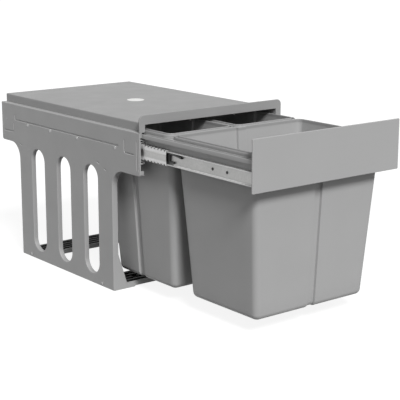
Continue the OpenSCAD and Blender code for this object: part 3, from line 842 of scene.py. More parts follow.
@dataclass
class PressedSheet:
    """Sheet metal or a moulded wall whose edges are folded in, worked out as one closed shell.

    Round every outline the section runs from the face through a bend of the radius R into a flange
    of the depth D: offsets and depths (-R + R sin a, R - R cos a), (0, D), (-t, D) and back
    (-R + (R - t) sin a, R - (R - t) cos a), for a from 0 to 90 degrees. The flat skin starts
    support before the bend, and edge is the radius of the flange's free edge.
    """

    outline: Array
    thickness: float
    bend: float
    holes: list[Array] = field(default_factory=list)
    support: float = 0.4
    edge: float = 0.3

    def section(self) -> tuple[Array, Array, Array]:
        """Offsets, fixed depths and the share of the flange depth of the section's points.

        Returns:
            The three rows, one value for each point of the section.
        """
        r, t, s, e = self.bend, self.thickness, self.support, min(self.edge, self.thickness / 4)
        a = np.linspace(0, math.pi / 2, 7)
        back = a[::-1]
        inner = -r + (r - t) * np.sin(back)
        offset = np.r_[-r - s, -r + r * np.sin(a), 0, -e, -t + e, -t, inner, -r - s]
        depth = np.r_[0, r - r * np.cos(a), -e, 0, 0, -e, r - (r - t) * np.cos(back), t]
        share = np.r_[np.zeros(len(a) + 1), np.ones(4), np.zeros(len(a) + 1)]
        return offset, depth, share

    def folded(self, loop: Array, normal: Array, flange: Array, surface: Surface) -> Shell:
        """The bend and flange along one outline.

        Args:
            loop: The outline.
            normal: Vectors out of the material at its points.
            flange: Depth of the flange at each point.
            surface: Function from plane points and depths to space.

        Returns:
            The open strip, whose first and last lines meet the two skins.
        """
        offset, depth, share = self.section()
        at = loop[None] + normal[None] * offset[:, None, None]
        down = depth[:, None] + share[:, None] * flange[None]
        made = Shell()
        made.add_rings(surface(at, down), capped=False)
        return made

    def shell(
        self,
        flange: Callable[[Array], Array],
        hole_flange: float,
        surface: Surface,
        dents: list[Dent],
    ) -> Shell:
        """The whole sheet.

        Args:
            flange: Function from outline points to the flange depth there.
            hole_flange: Depth of the flange round each hole.
            surface: Where plane points and depths lie in space, with the depth away from the eye.
            dents: The pressed patches.

        Returns:
            The closed shell, for a face that looks along the normal of the plane.
        """
        made = Shell()
        inset = self.bend + self.support
        outer = self.outline
        n = outward(outer)
        made.add_shell(self.folded(outer, n, flange(outer), surface))
        rims = []
        for hole in self.holes:
            m = -outward(hole)
            made.add_shell(self.folded(hole, m, np.full(len(hole), hole_flange), surface).turned())
            rims.append(hole - m * inset)
        edge = outer - n * inset
        points, faces = filled(edge, rims + [border for border, _, _ in dents])
        made.add(surface(points, np.zeros(len(points))), faces)
        points, faces = filled(edge, rims)
        made.add(surface(points, np.full(len(points), self.thickness)), faces[:, ::-1])
        for _, grid, depth in dents:
            rows, columns = depth.shape
            i, j = np.arange(rows - 1)[:, None], np.arange(columns - 1)[None, :]
            k = i * columns + j
            quads = np.stack([k, k + 1, k + columns + 1, k + columns], -1).reshape(-1, 4)
            made.add(surface(grid, depth), quads)
        return made


# Length over which a pressed line runs out at each end, and the shares of it that have points
RUN_OUT = 3.6
RUN_STEPS = np.array([0.17, 0.4, 0.67, 1.0])
# Shares of a line's length between which its valley goes over to its other place
TURNING = (0.2, 0.45)


def pressed_line(
    corners: Corners, width: float, depth: float, valley: tuple[float, float] = (0.0, 0.0)
) -> Dent:
    """A line pressed into a sheet with a valley at the share v of its half width.

    The depth is d (1 + cos(pi t)) / 2, with t going from -1 at one edge over 0 in the valley to 1
    at the other edge, and it runs out to nothing at both ends of the line.

    Args:
        corners: Corners of the line with the radius at each.
        width: Width of the line.
        depth: Its depth.
        valley: Share v before and behind the line's corner.

    Returns:
        Its boundary, its grid of plane points and the depths there.
    """
    line = rounded(corners, closed=False, steps=5)
    seg = np.linalg.norm(np.diff(line, axis=0), axis=1)
    s = np.r_[0, np.cumsum(seg)]
    run = min(RUN_OUT, s[-1] / 2)
    steps = RUN_STEPS * run
    at = np.unique(np.round(np.r_[s, steps, s[-1] - steps], 6))
    line = np.stack([np.interp(at, s, line[:, k]) for k in (0, 1)], -1)
    step = np.gradient(line, axis=0)
    step /= np.linalg.norm(step, axis=1, keepdims=True)
    across = np.stack([step[:, 1], -step[:, 0]], -1)
    t = np.linspace(-1, 1, 9)[None, :]
    v = np.interp(at / s[-1], TURNING, valley)[:, None]
    c = v + t * (1 + np.where(t < 0, v, -v))
    grid = line[:, None] - across[:, None] * (c * width / 2)[..., None]
    ends = smooth_step(np.minimum(at, s[-1] - at) / run)
    down = depth * ends[:, None] * (1 + np.cos(math.pi * t)) / 2
    grid = grid[:, ::-1]
    border = np.concatenate([grid[:-1, 0], grid[-1, :-1], grid[:0:-1, -1], grid[0, :0:-1]])
    return border, grid, down


@dataclass
class SideFrame:
    """Pressed side of the fixed frame: rail, leg with slots, folded edges, toes and pressed lines.

    Every _fold is how far an edge is folded in: leg_fold as heights and the depths there,
    foot_fold and top_fold as the depths at the places that flange() gives.
    """

    thickness: float = 1.5
    bend: float = 1.6
    leg: float = 173.5
    rail_z: float = 239.0
    fillet: float = 33.0
    foot_r: float = 5.0
    slot_places: tuple[float, ...] = (-99.0, 0.0, 99.0)
    slot_w: float = 50.0
    slot_z: tuple[float, float] = (20.0, 236.5)
    slot_rim: float = 9.5
    edge_fold: float = 12.0
    end_fold: float = 9.0
    return_fold: float = 2.4
    leg_fold: tuple[tuple[float, ...], ...] = ((0, 6, 11, 71), (52, 52, 31, 12))
    foot_fold: tuple[float, float] = (31.0, 50.0)
    top_fold: tuple[float, ...] = (2.4, 13.0, 13.0, 29.0)
    corner_z: float = 249.2
    return_top: float = 307.0
    line_w: float = 4.4
    line_d: float = 1.35
    skew: float = 0.5
    marks: tuple[tuple[float, float, float], ...] = ((167, 236, 3), (-127, 243, 4), (-150, 234, 3))
    mark_half: float = 5.0
    pips: tuple[tuple[float, float], ...] = ((223.0, 285.0), (238.0, 251.0), (134.0, 230.0))
    pip: float = 2.3
    pip_rise: float = 0.85

    def outline(self) -> Array:
        """Outline in Y and Z, anticlockwise as seen from the right side.

        Returns:
            The outline as rows of two.
        """
        leg, rail, r = self.leg, self.rail_z, self.foot_r
        corners = [
            (-leg, 0, 0), (leg, 0, 0), (leg, rail, self.fillet), (BACK_Y, rail, r),
            (BACK_Y, FRAME_H, 0), (FRONT_Y, FRAME_H, 0),
            (FRONT_Y, self.return_top + 1, 0), (FRONT_Y, self.return_top, 0),
            (FRONT_Y, self.corner_z + 1, 0), (FRONT_Y, self.corner_z, 0),
            (FRONT_Y, rail, r), (-leg, rail, self.fillet),
        ]
        return resampled(rounded(corners, steps=10), 6.0)

    def slot(self, y: float) -> Array:
        """Outline of one slot with round ends.

        Args:
            y: Place of its middle.

        Returns:
            The outline in Y and Z.
        """
        half = self.slot_w / 2
        r = half - 0.01
        low, high = self.slot_z
        corners = [(y - half, low, r), (y + half, low, r), (y + half, high, r), (y - half, high, r)]
        return resampled(rounded(corners, steps=12), 12.0)

    def flange(self, loop: Array) -> Array:
        """Depth of the folded edge: round the rail's ends and top, the leg and the foot.

        Args:
            loop: The outline.

        Returns:
            The depth at each of its points.
        """
        y, z = loop.T
        foot, rail = z <= 0.5, z > self.rail_z
        by_leg = (np.abs(np.abs(y) - self.leg) < 3.5) & ~foot & (z < 200)
        depth = np.where(by_leg, np.interp(z, *self.leg_fold), self.edge_fold)
        foot_fold = np.interp(np.abs(y), [self.leg - 4, self.leg - 1], self.foot_fold)
        depth = np.where(foot, foot_fold, depth)
        turns = [self.corner_z, self.corner_z + 1, self.return_top, self.return_top + 1]
        folds = [self.end_fold, self.return_fold, self.return_fold, self.bend + 0.1]
        depth = np.where((y < FRONT_Y + 1.5) & rail, np.interp(z, turns, folds), depth)
        depth = np.where((y > BACK_Y - 1.5) & rail, self.end_fold, depth)
        top = np.interp(y, [FRONT_Y + 3, FRONT_Y + 5, BACK_Y - 26, BACK_Y - 25], self.top_fold)
        return np.where(z > FRAME_H - 1.5, np.where(y > BACK_Y - 3, self.end_fold, top), depth)

    def lines(self) -> list[Dent]:
        """The lines pressed into the rail, the edges of its pads, short marks and raised pips.

        Returns:
            One pressed form for each.
        """
        w, d, pip = self.line_w, self.line_d, self.pip
        fine_w, fine_d = 0.6 * w, 0.8 * d
        low, high = (-self.skew, -self.skew), (self.skew, self.skew)
        turning = (self.skew, -self.skew)
        crease = [(-197, 287.5, 0), (189.5, 287.5, 4), (189.5, 299, 0)]
        rear_pad = [(195.5, 282, 0), (195.5, 261, 6), (235.5, 261, 0)]
        front_pad = [(-248, 278, 0), (-216, 278, 5), (-216, 303.5, 0)]
        front_edge = [(-255.5, 306.5, 0), (-255.5, 248.5, 0)]
        front_return = [(-261.2, 306.5, 0), (-261.2, 246, 0)]
        rear_edge = [(239.5, 303, 0), (239.5, 268, 0)]
        made = [
            pressed_line(crease, w, d, low),
            pressed_line(rear_pad, w, d, turning),
            pressed_line(front_pad, w, d, low),
            pressed_line(front_edge, w, d, high),
            pressed_line(front_return, fine_w, fine_d, high),
            pressed_line(rear_edge, w, fine_d, high),
        ]
        for y, z, rise in self.marks:
            mark = [(y - self.mark_half, z, 0), (y + self.mark_half, z + rise, 0)]
            made.append(pressed_line(mark, w, fine_d, low))
        for y, z in self.pips:
            made.append(pressed_line([(y - pip, z, 0), (y + pip, z, 0)], 2 * pip, -self.pip_rise))
        return made

    def build(self, side: Side) -> None:
        """Makes the side frame of one side.

        Args:
            side: The side.
        """
        slots = [self.slot(y) for y in self.slot_places]
        sheet = PressedSheet(self.outline(), self.thickness, self.bend, slots)

        def surface(at: Array, depth: Array) -> Array:
            """Plane (Y, Z) and depth to space: x = face - depth."""
            return np.stack([FACE_X - depth, at[..., 0], at[..., 1]], -1)

        shell = sheet.shell(self.flange, self.slot_rim, surface, self.lines())
        made = shell.on_side(side).piece(f"pressed_side_{side.word}", FRAME_PAINT, "frame")
        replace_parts(made, f"side_frame_{side.word}")


@dataclass
class Lid:
    """Fixed lid: a hollow moulding with a soft edge, a raised portal in front and a cove behind."""

    half_w: float = 160.0
    back_y: float = 243.5
    top_z: float = 336.65
    rise: float = 16.65
    wall: float = 2.2
    corner: float = 3.0
    bend: float = 1.9
    collar_t: float = 3.0
    collar_top: float = 352.2
    collar_corner: float = 10.0
    collar_soft: float = 1.4
    cove: float = 12.0
    disc: tuple[float, float, float, float] = (0.0, -10.0, 17.5, 0.6)
    screw_at: tuple[float, float] = (146.5, 231.5)
    boss: tuple[float, float] = (1.9, 5.0)
    rib: tuple[float, float, float] = (1.0, 1.3, 3.0)
    tongue_x: float = 165.5
    tongue_z: tuple[float, float] = (310.5, 321.0)

    def hood(self) -> Shell:
        """The top and its side and rear walls, open toward the front.

        Returns:
            The closed shell of the wall.
        """
        x, y, r = self.half_w, self.back_y, self.corner
        loop = rounded([(-x, FRONT_Y, 3), (x, FRONT_Y, 3), (x, y, r), (-x, y, r)], steps=8)
        sheet = PressedSheet(resampled(loop, 12.0), self.wall, self.bend)

        def flange(at: Array) -> Array:
            """The walls reach down to the frame, but not along the front."""
            low = self.bend + 0.3
            return np.interp(at[:, 1], [FRONT_Y, FRONT_Y + 2.5, FRONT_Y + 3], [low, low, self.rise])

        def surface(at: Array, depth: Array) -> Array:
            """Plane (X, Y) and depth to space: z = top - depth."""
            return np.stack([at[..., 0], at[..., 1], self.top_z - depth], -1)

        return sheet.shell(flange, 0.0, surface, [])

    def portal(self) -> Shell:
        """The raised front collar, an upside-down U with round upper corners.

        Returns:
            The closed shell.
        """
        inner, under, soft = self.half_w - self.wall, self.top_z - self.wall, self.collar_soft
        r, top = self.collar_corner, self.collar_top
        corners = [
            (-FACE_X, FRAME_H, soft), (-inner, FRAME_H, soft), (-inner, under, soft),
            (inner, under, soft), (inner, FRAME_H, soft), (FACE_X, FRAME_H, soft),
            (FACE_X, top, r), (-FACE_X, top, r),
        ]
        outline = resampled(rounded(corners, steps=8), 20.0)
        return carried(outline, Along.Y, FRONT_Y, FRONT_Y + self.collar_t, edge=0.9)

    def behind(self) -> Shell:
        """The cove behind the collar: a quarter round of radius r hollowed out of its foot.

        Returns:
            The closed shell.
        """
        r, y, z = self.cove, FRONT_Y + self.collar_t, self.top_z
        a = np.linspace(math.pi, 1.5 * math.pi, 14)
        arc = np.stack([y + r + r * np.cos(a), z + r + r * np.sin(a)], -1)
        foot = np.array([[y + r, z - 0.5], [y - 1.0, z - 0.5], [y - 1.0, z + r]])
        half = self.half_w - 0.4
        return carried(np.concatenate([arc, foot]), Along.X, -half, half, edge=0.5)

    def underside(self) -> Shell:
        """The two ribs, the screw bosses and the tongues that hook into the side frames.

        Returns:
            Their closed shells in one.
        """
        made = Shell()
        under = self.top_z - self.wall
        y0, y1 = FRONT_Y + self.collar_t, self.back_y - self.wall
        tip, root, high = self.rib
        bottom, top = under - high, under + 0.3
        for x in (-self.half_w / 3, self.half_w / 3):
            foot = [(x - tip, bottom, 0.5), (x + tip, bottom, 0.5)]
            rib = rounded([*foot, (x + root, top, 0), (x - root, top, 0)])
            made.add_shell(carried(rib, Along.Y, y0, y1))
        bore, r = self.boss
        soft = 0.4
        boss = [
            (FRAME_H, bore), (FRAME_H, r - soft), (FRAME_H + soft, r),
            (under + 0.2, r), (under + 0.2, 1.0),
        ]
        low, high = self.tongue_z
        for side in Side:
            s = side.value
            x, y = self.screw_at
            made.add_shell(turned_round(boss, Along.Z, (s * x, y)))
            x0, x1 = sorted((s * self.tongue_x, s * (WEB_X - 0.2)))
            tongue = rounded([(x0, low, 0.8), (x1, low, 0.8), (x1, high, 0), (x0, high, 0)])
            made.add_shell(carried(tongue, Along.Y, FRONT_Y + 0.2, y0, edge=0.4))
        return made

    def blank_disc(self) -> Shell:
        """The disc that lies on the lid: a flat profile with a soft upper edge, turned round.

        Returns:
            The closed shell.
        """
        x, y, r, t = self.disc
        low, top = self.top_z - 0.2, self.top_z + t
        profile = [
            (low, 0.5), (low, r), (top - 0.35, r), (top - 0.1, r - 0.15),
            (top, r - 0.45), (top, r - 1.2), (top, 0.5),
        ]
        return turned_round(profile, Along.Z, (x, y), steps=96)

    def build(self) -> None:
        """Makes the lid as one moulding and the blank disc that lies on it."""
        shell = self.hood()
        for part in (self.portal(), self.behind(), self.underside()):
            shell.add_shell(part)
        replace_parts(shell.piece("moulded_lid", LID_PLASTIC, "frame"), "lid_cover")
        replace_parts(self.blank_disc().piece("blank_disc", WHITE_VINYL, "frame"), "lid_disc")


@dataclass
class FrontPanel:
    """Flat painted front plate with soft edges and the threaded studs behind it."""

    half_w: float = 171.0
    low_z: float = 262.5
    top_z: float = 353.2
    corner: float = 2.0
    thickness: float = 3.0
    edge: float = 0.9
    stud_x: tuple[float, ...] = (-130.0, -60.0, 60.0, 130.0)
    stud_z: float = 292.5
    stud_r: float = 2.0
    stud_len: float = 8.0
    stud_root: float = 0.3
    pitch: float = 0.7
    thread: float = 0.35

    def stud(self, x: float) -> Shell:
        """A threaded stud: radius r - h (1 - cos(2 pi y / p - a)) / 2 at the angle a.

        Args:
            x: Its place across the panel.

        Returns:
            The closed shell.
        """
        y = np.linspace(0, self.stud_len, 70)[:, None]
        a = np.linspace(0, 2 * math.pi, 24, endpoint=False)[None, :]
        r = self.stud_r - self.thread * (1 - np.cos(2 * math.pi * y / self.pitch - a)) / 2
        r = r * np.where(y > self.stud_len - 0.4, 0.85, 1.0)
        along = PANEL_BACK_Y - self.stud_root + y + 0 * a
        made = Shell()
        made.add_rings(np.stack([x + r * np.cos(a), along, self.stud_z + r * np.sin(a)], -1))
        return made.turned()

    def build(self) -> None:
        """Makes the plate with its studs."""
        x, c, low, top = self.half_w, self.corner, self.low_z, self.top_z
        loop = rounded([(-x, low, c), (x, low, c), (x, top, c), (-x, top, c)], steps=8)
        front = PANEL_BACK_Y - self.thickness
        shell = carried(resampled(loop, 25.0), Along.Y, front, PANEL_BACK_Y, edge=self.edge)
        for place in self.stud_x:
            shell.add_shell(self.stud(place))
        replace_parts(shell.piece("painted_front_panel", PANEL_PAINT, "drawer"), "front_panel")


def in_slide(section: Array) -> Array:
    """A section in s and h as an outline in X and Z on the right: x = web - s, z = middle + h."""
    return np.stack([WEB_X - section[:, 0], SLIDE_Z + section[:, 1]], -1)


@dataclass
class Slides:
    """Rolled members of the telescopic slides with their rivets, screws and lever pins.

    A section is a bent strip in the depth s from the frame's web and the height h from the middle
    line, carried along Y. The sections of the outer and middle members give where they start and
    stop in s, their half height, the height of their lips and their sheet; the inner one's gives
    where it starts and stops, its half height, its bends and its sheet. Rows of a profile are
    places along X and radii.
    """

    outer: tuple[float, float] = (-263.5, 236.5)
    middle: tuple[float, float] = (-261.0, 219.0)
    inner: tuple[float, float] = (-572.0, -82.0)
    outer_section: tuple[float, ...] = (0, 10.5, 22.5, 17.85, 1.2)
    middle_section: tuple[float, ...] = (2.8, 12.2, 17.25, 12.8, 1.0)
    inner_section: tuple[float, ...] = (5.6, 12.1, 11.6, 1.5, 1.2)
    race_bend: float = 1.9
    rivet_y: tuple[float, ...] = (-185.5, -54.0, 47.0, 136.0)
    rivet_z: float = 282.5
    rivet_end: float = 168.2
    screw_y: tuple[float, ...] = (-498.0, -459.5, -242.0, -120.0)
    screw_end: float = 152.7
    screw_seat: float = 158.0
    pin_y: float = -325.0
    pin_end: float = 156.8
    pin_seat: float = 162.1

    def channel(self, s0: float, s1: float, half: float, lip: float, t: float) -> Array:
        """Section of a channel whose flanges end in lips, rounded like the ball races.

        Args:
            s0: Where it starts in depth.
            s1: Where it stops in depth.
            half: Half its height.
            lip: Half the gap between its lips.
            t: Thickness of the sheet.

        Returns:
            The section in s and h.
        """
        r, h, a, b = self.race_bend, half - t / 2, s0 + t / 2, s1 - t / 2
        path = [(b, lip, 0), (b, h, r), (a, h, r), (a, -h, r), (b, -h, r), (b, -lip, 0)]
        return strip(path, t)

    def build(self, side: Side) -> None:
        """Makes the three members of one side.

        Args:
            side: The side.
        """
        s0, s1, half, bend, t = self.inner_section
        inner = strip([(s0, -half, 0), (s1, -half, bend), (s1, half, bend), (s0, half, 0)], t)
        for name, section, reach, body in (
            ("outer", self.channel(*self.outer_section), self.outer, "frame"),
            ("middle", self.channel(*self.middle_section), self.middle, "slide_stage"),
            ("inner", inner, self.inner, "drawer"),
        ):
            shell = carried(in_slide(section), Along.Y, *reach, edge=0.15, steps=1).on_side(side)
            made = shell.piece(f"rolled_{name}_slide_{side.word}", SLIDE_ZINC, body)
            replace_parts(made, f"slide_{name}_{side.word}")

    def rivet(self) -> list[tuple[float, float]]:
        """Profile of a rivet with a low dome on the frame's face.

        Returns:
            Rows of place along X and radius.
        """
        dome = ((0, 3.6), (0.15, 3.8), (0.4, 3.7), (0.65, 3.1), (0.82, 2.2), (0.9, 1.1), (0.9, 0.1))
        shank = [(self.rivet_end, 0.3), (self.rivet_end, 2.3), (FACE_X, 2.3)]
        return shank + [(FACE_X + rise, r) for rise, r in dome]

    def screw(self) -> list[tuple[float, float]]:
        """Profile of a screw with a low head and a recess for the driver.

        Returns:
            Rows of place along X and radius.
        """
        head = (
            (0, 2.0), (0, 2.5), (0.2, 2.7), (0.6, 2.55),
            (0.9, 1.9), (0.9, 1.25), (0.35, 1.15), (0.35, 0.1),
        )
        shank = [(self.screw_end, 0.2), (self.screw_end, 1.8), (self.screw_end + 0.3, 2.0)]
        return shank + [(self.screw_seat + rise, r) for rise, r in head]

    def pin(self) -> list[tuple[float, float]]:
        """Profile of a lever pin with a flat head.

        Returns:
            Rows of place along X and radius.
        """
        head = ((0, 2.0), (0, 3.2), (0.2, 3.4), (0.6, 3.3), (0.9, 2.6), (0.9, 0.1))
        shank = [(self.pin_end, 0.2), (self.pin_end, 2.0)]
        return shank + [(self.pin_seat + rise, r) for rise, r in head]

    def fasteners(self) -> None:
        """Makes the domed rivets, the recessed screws and the lever pins of both sides."""
        rivets, screws, pins = Shell(), Shell(), Shell()
        for shell, profile, places, z in (
            (rivets, self.rivet(), self.rivet_y, self.rivet_z),
            (screws, self.screw(), self.screw_y, SLIDE_Z),
            (pins, self.pin(), (self.pin_y,), SLIDE_Z),
        ):
            for side in Side:
                for y in places:
                    shell.add_shell(turned_round(profile, Along.X, (y, z)).on_side(side))
        made = rivets.piece("domed_slide_rivets", RIVET_METAL, "frame")
        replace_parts(made, "slide_outer_rivets")
        made = screws.piece("recessed_slide_screws", SCREW_BLACK, "drawer")
        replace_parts(made, "slide_inner_screws")
        made = pins.piece("headed_lever_pins", SCREW_ZINC, "drawer")
        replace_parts(made, "lever_pins")


@dataclass
class BallCages:
    """Inner ball cages: a flat strip notched at each ball, with its edges bent in between them."""

    start: float = -337.0
    length: float = 250.0
    half: float = 13.925
    depth: tuple[float, float] = (4.3, 10.6)
    sheet: float = 0.6
    bend: float = 0.7
    first_ball: float = 5.0
    pitch: float = 9.8
    group: int = 7
    notch_w: float = 5.4
    notch_d: float = 2.6
    lap: float = 0.3
    slack: float = 0.02

    def tabs(self) -> list[tuple[float, float]]:
        """Where each tab starts and stops: the length of the strip less a notch at each ball.

        Returns:
            Rows of two places along Y.
        """
        front = [self.first_ball + i * self.pitch for i in range(self.group)]
        balls = sorted(front + [self.length - at for at in front])
        cuts = [at + way * self.notch_w / 2 for at in balls for way in (-1, 1)]
        ends = [0.0, *cuts, self.length]
        return [(self.start + a, self.start + b) for a, b in zip(ends[::2], ends[1::2])]

    def build(self, side: Side) -> None:
        """Makes the cage of one side: a flat web, and each tab as a bent strip lapped into it.

        Args:
            side: The side.
        """
        s, deep = self.depth
        middle, low, h = s + self.sheet / 2, self.half - self.notch_d, self.half - self.sheet / 2
        y0, y1 = self.start, self.start + self.length
        z0, z1 = SLIDE_Z - low, SLIDE_Z + low
        web = np.array([(y0, z0), (y1, z0), (y1, z1), (y0, z1)])
        shell = carried(web, Along.X, WEB_X - s - self.sheet, WEB_X - s)
        for way in (-1, 1):
            root, top = way * (low - self.lap), way * h
            path = [(middle, root, 0), (middle, top, self.bend), (deep, top, 0)]
            section = in_slide(strip(path, self.sheet - self.slack))
            for first, last in self.tabs():
                shell.add_shell(carried(section, Along.Y, first, last))
        made = shell.on_side(side).piece(f"notched_ball_cage_{side.word}", CAGE_ZINC, "inner_cages")
        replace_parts(made, f"inner_cage_{side.word}")


@dataclass
class DrawerFrame:
    """Folded sheet of the drawer: rails that carry the bin rims and the crossbars between them."""

    sheet: float = 1.2
    rails: tuple[float, float] = (-573.3, -83.3)
    ledge_x: float = 150.5
    web: tuple[float, float] = (155.6, 156.8)
    lip_x: float = 165.0
    lip_h: float = 8.0
    trough: float = 5.0
    trough_edge: float = 1.8
    web_h: float = 47.5
    front_ledge: float = 13.0
    middle: tuple[float, float] = (-341.3, -329.4)
    middle_h: float = 20.0
    rear: tuple[float, float] = (-110.4, -98.4)
    rear_h: float = 30.0

    def rail(self, side: Side) -> None:
        """Makes one rail: web, ledge toward the bins, trough over the slide and outer lip.

        Args:
            side: The side.
        """
        top, t = RAIL_TOP_Z, self.sheet
        ledge, lip, (a, b) = self.ledge_x, self.lip_x, self.web
        floor, web_low, lip_low = top - self.trough, top - self.web_h, top - self.lip_h
        near, far = b + t / 2, lip - self.trough_edge
        corners = [
            (ledge, top, 0.3), (ledge, top - t, 0.3), (a, top - t, 0.7), (a, web_low, 0.3),
            (b, web_low, 0.3), (b, floor - t, 0.5), (lip - t, floor - t, 0.3),
            (lip - t, lip_low, 0.3), (lip, lip_low, 0.3), (lip, top, 1.0),
            (far, top, 0.7), (far, floor, 0.8), (near, floor, 0.8), (near, top, 0.6),
        ]
        shell = carried(rounded(corners, steps=4), Along.Y, *self.rails).on_side(side)
        made = shell.piece(f"folded_drawer_rail_{side.word}", FRAME_PAINT, "drawer")
        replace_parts(made, f"drawer_rail_{side.word}")

    def bar(
        self,
        name: str,
        node: str,
        reach: tuple[float, float],
        webs: tuple[float, ...],
        height: float,
    ) -> None:
        """Makes a bar between the rails from a ledge and one or two webs.

        Args:
            name: Name of the piece.
            node: CAD node that it stands for.
            reach: Where the ledge starts and stops along Y.
            webs: Where each web starts along Y.
            height: Height of the webs.
        """
        top, t, shell = RAIL_TOP_Z, self.sheet, Shell()
        y0, y1 = reach
        low, high = top - height, top - t + 0.2
        ledge = [(y0, top - t, 0.2), (y1, top - t, 0.2), (y1, top, 0.9), (y0, top, 0.9)]
        shell.add_shell(carried(rounded(ledge, steps=4), Along.X, -self.ledge_x, self.ledge_x))
        for y in webs:
            web = [(y, low, 0.3), (y + t, low, 0.3), (y + t, high, 0), (y, high, 0)]
            shell.add_shell(carried(rounded(web, steps=3), Along.X, -self.web[0], self.web[0]))
        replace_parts(shell.piece(name, FRAME_PAINT, "drawer"), node)

    def front(self) -> None:
        """Makes the front crossbar: a wide web behind the panel with the ledge of the front bin."""
        top, t, shell = RAIL_TOP_Z, self.sheet, Shell()
        y0, y1, low = PANEL_BACK_Y, RAILS_Y, RAIL_TOP_Z - self.web_h
        web = rounded([(y0, low, 0.3), (y1, low, 0.3), (y1, top, 0.3), (y0, top, 0.9)], steps=4)
        shell.add_shell(carried(web, Along.X, -self.lip_x, self.lip_x, edge=0.3))
        near, far = y0 + 0.4, y1 + self.front_ledge
        ledge = [(near, top - t, 0), (far, top - t, 0.3), (far, top, 0.3), (near, top, 0.3)]
        shell.add_shell(carried(rounded(ledge, steps=3), Along.X, -self.ledge_x, self.ledge_x))
        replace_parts(shell.piece("folded_front_crossbar", FRAME_PAINT, "drawer"), "crossbar_front")

    def build(self) -> None:
        """Makes the rails and the three crossbars."""
        for side in Side:
            self.rail(side)
        self.front()
        t, (y0, y1), (_, last) = self.sheet, self.middle, self.rear
        webs = (y0, y1 - t)
        self.bar("folded_middle_crossbar", "crossbar_middle", self.middle, webs, self.middle_h)
        self.bar("folded_rear_crossbar", "crossbar_rear", self.rear, (last - t,), self.rear_h)


class Facing(Enum):
    """The pair of walls that carries a bin's upright grooves."""

    ACROSS = 0
    ALONG = 1


# Section of a bin's rim as rows of offset and height over the ledge: the outer bead inward from the
# rim's edge, then the groove and the inner bead outward from the wall's outer face
OUTER_BEAD = np.array([
    (0.8, 0.0), (0.2, 0.2), (0.0, 0.8), (0.0, 4.8), (0.3, 5.7), (0.8, 6.3),
    (1.3, 6.5), (1.9, 6.35), (2.3, 5.8), (2.55, 5.0), (2.7, 3.9), (3.1, 3.3),
])
INNER_BEAD = np.array([
    (1.2, 3.3), (0.6, 3.8), (0.5, 4.6), (0.5, 6.8), (0.3, 7.5), (-0.1, 7.9), (-0.6, 8.0),
    (-1.1, 8.0), (-1.5, 7.85), (-1.85, 7.5), (-2.0, 6.9),
    (-2.0, 5.0), (-2.0, 3.0), (-2.0, 1.2), (-2.0, -0.5),
])
# Share of its depth that a groove has at these shares of its half width
GROOVE_KNOTS = np.array([0, 0.4, 0.7, 0.85, 0.88, 0.91, 0.94, 0.97, 1.02, 1.3])
GROOVE_SHARES = np.array([1, 1, 1, 0.98, 0.88, 0.5, 0.12, 0.02, 0, 0])
# Shares of the rest of a wall, from its groove to its corner, that have points
WALL_STEPS = np.array([0.25, 0.5, 0.75])


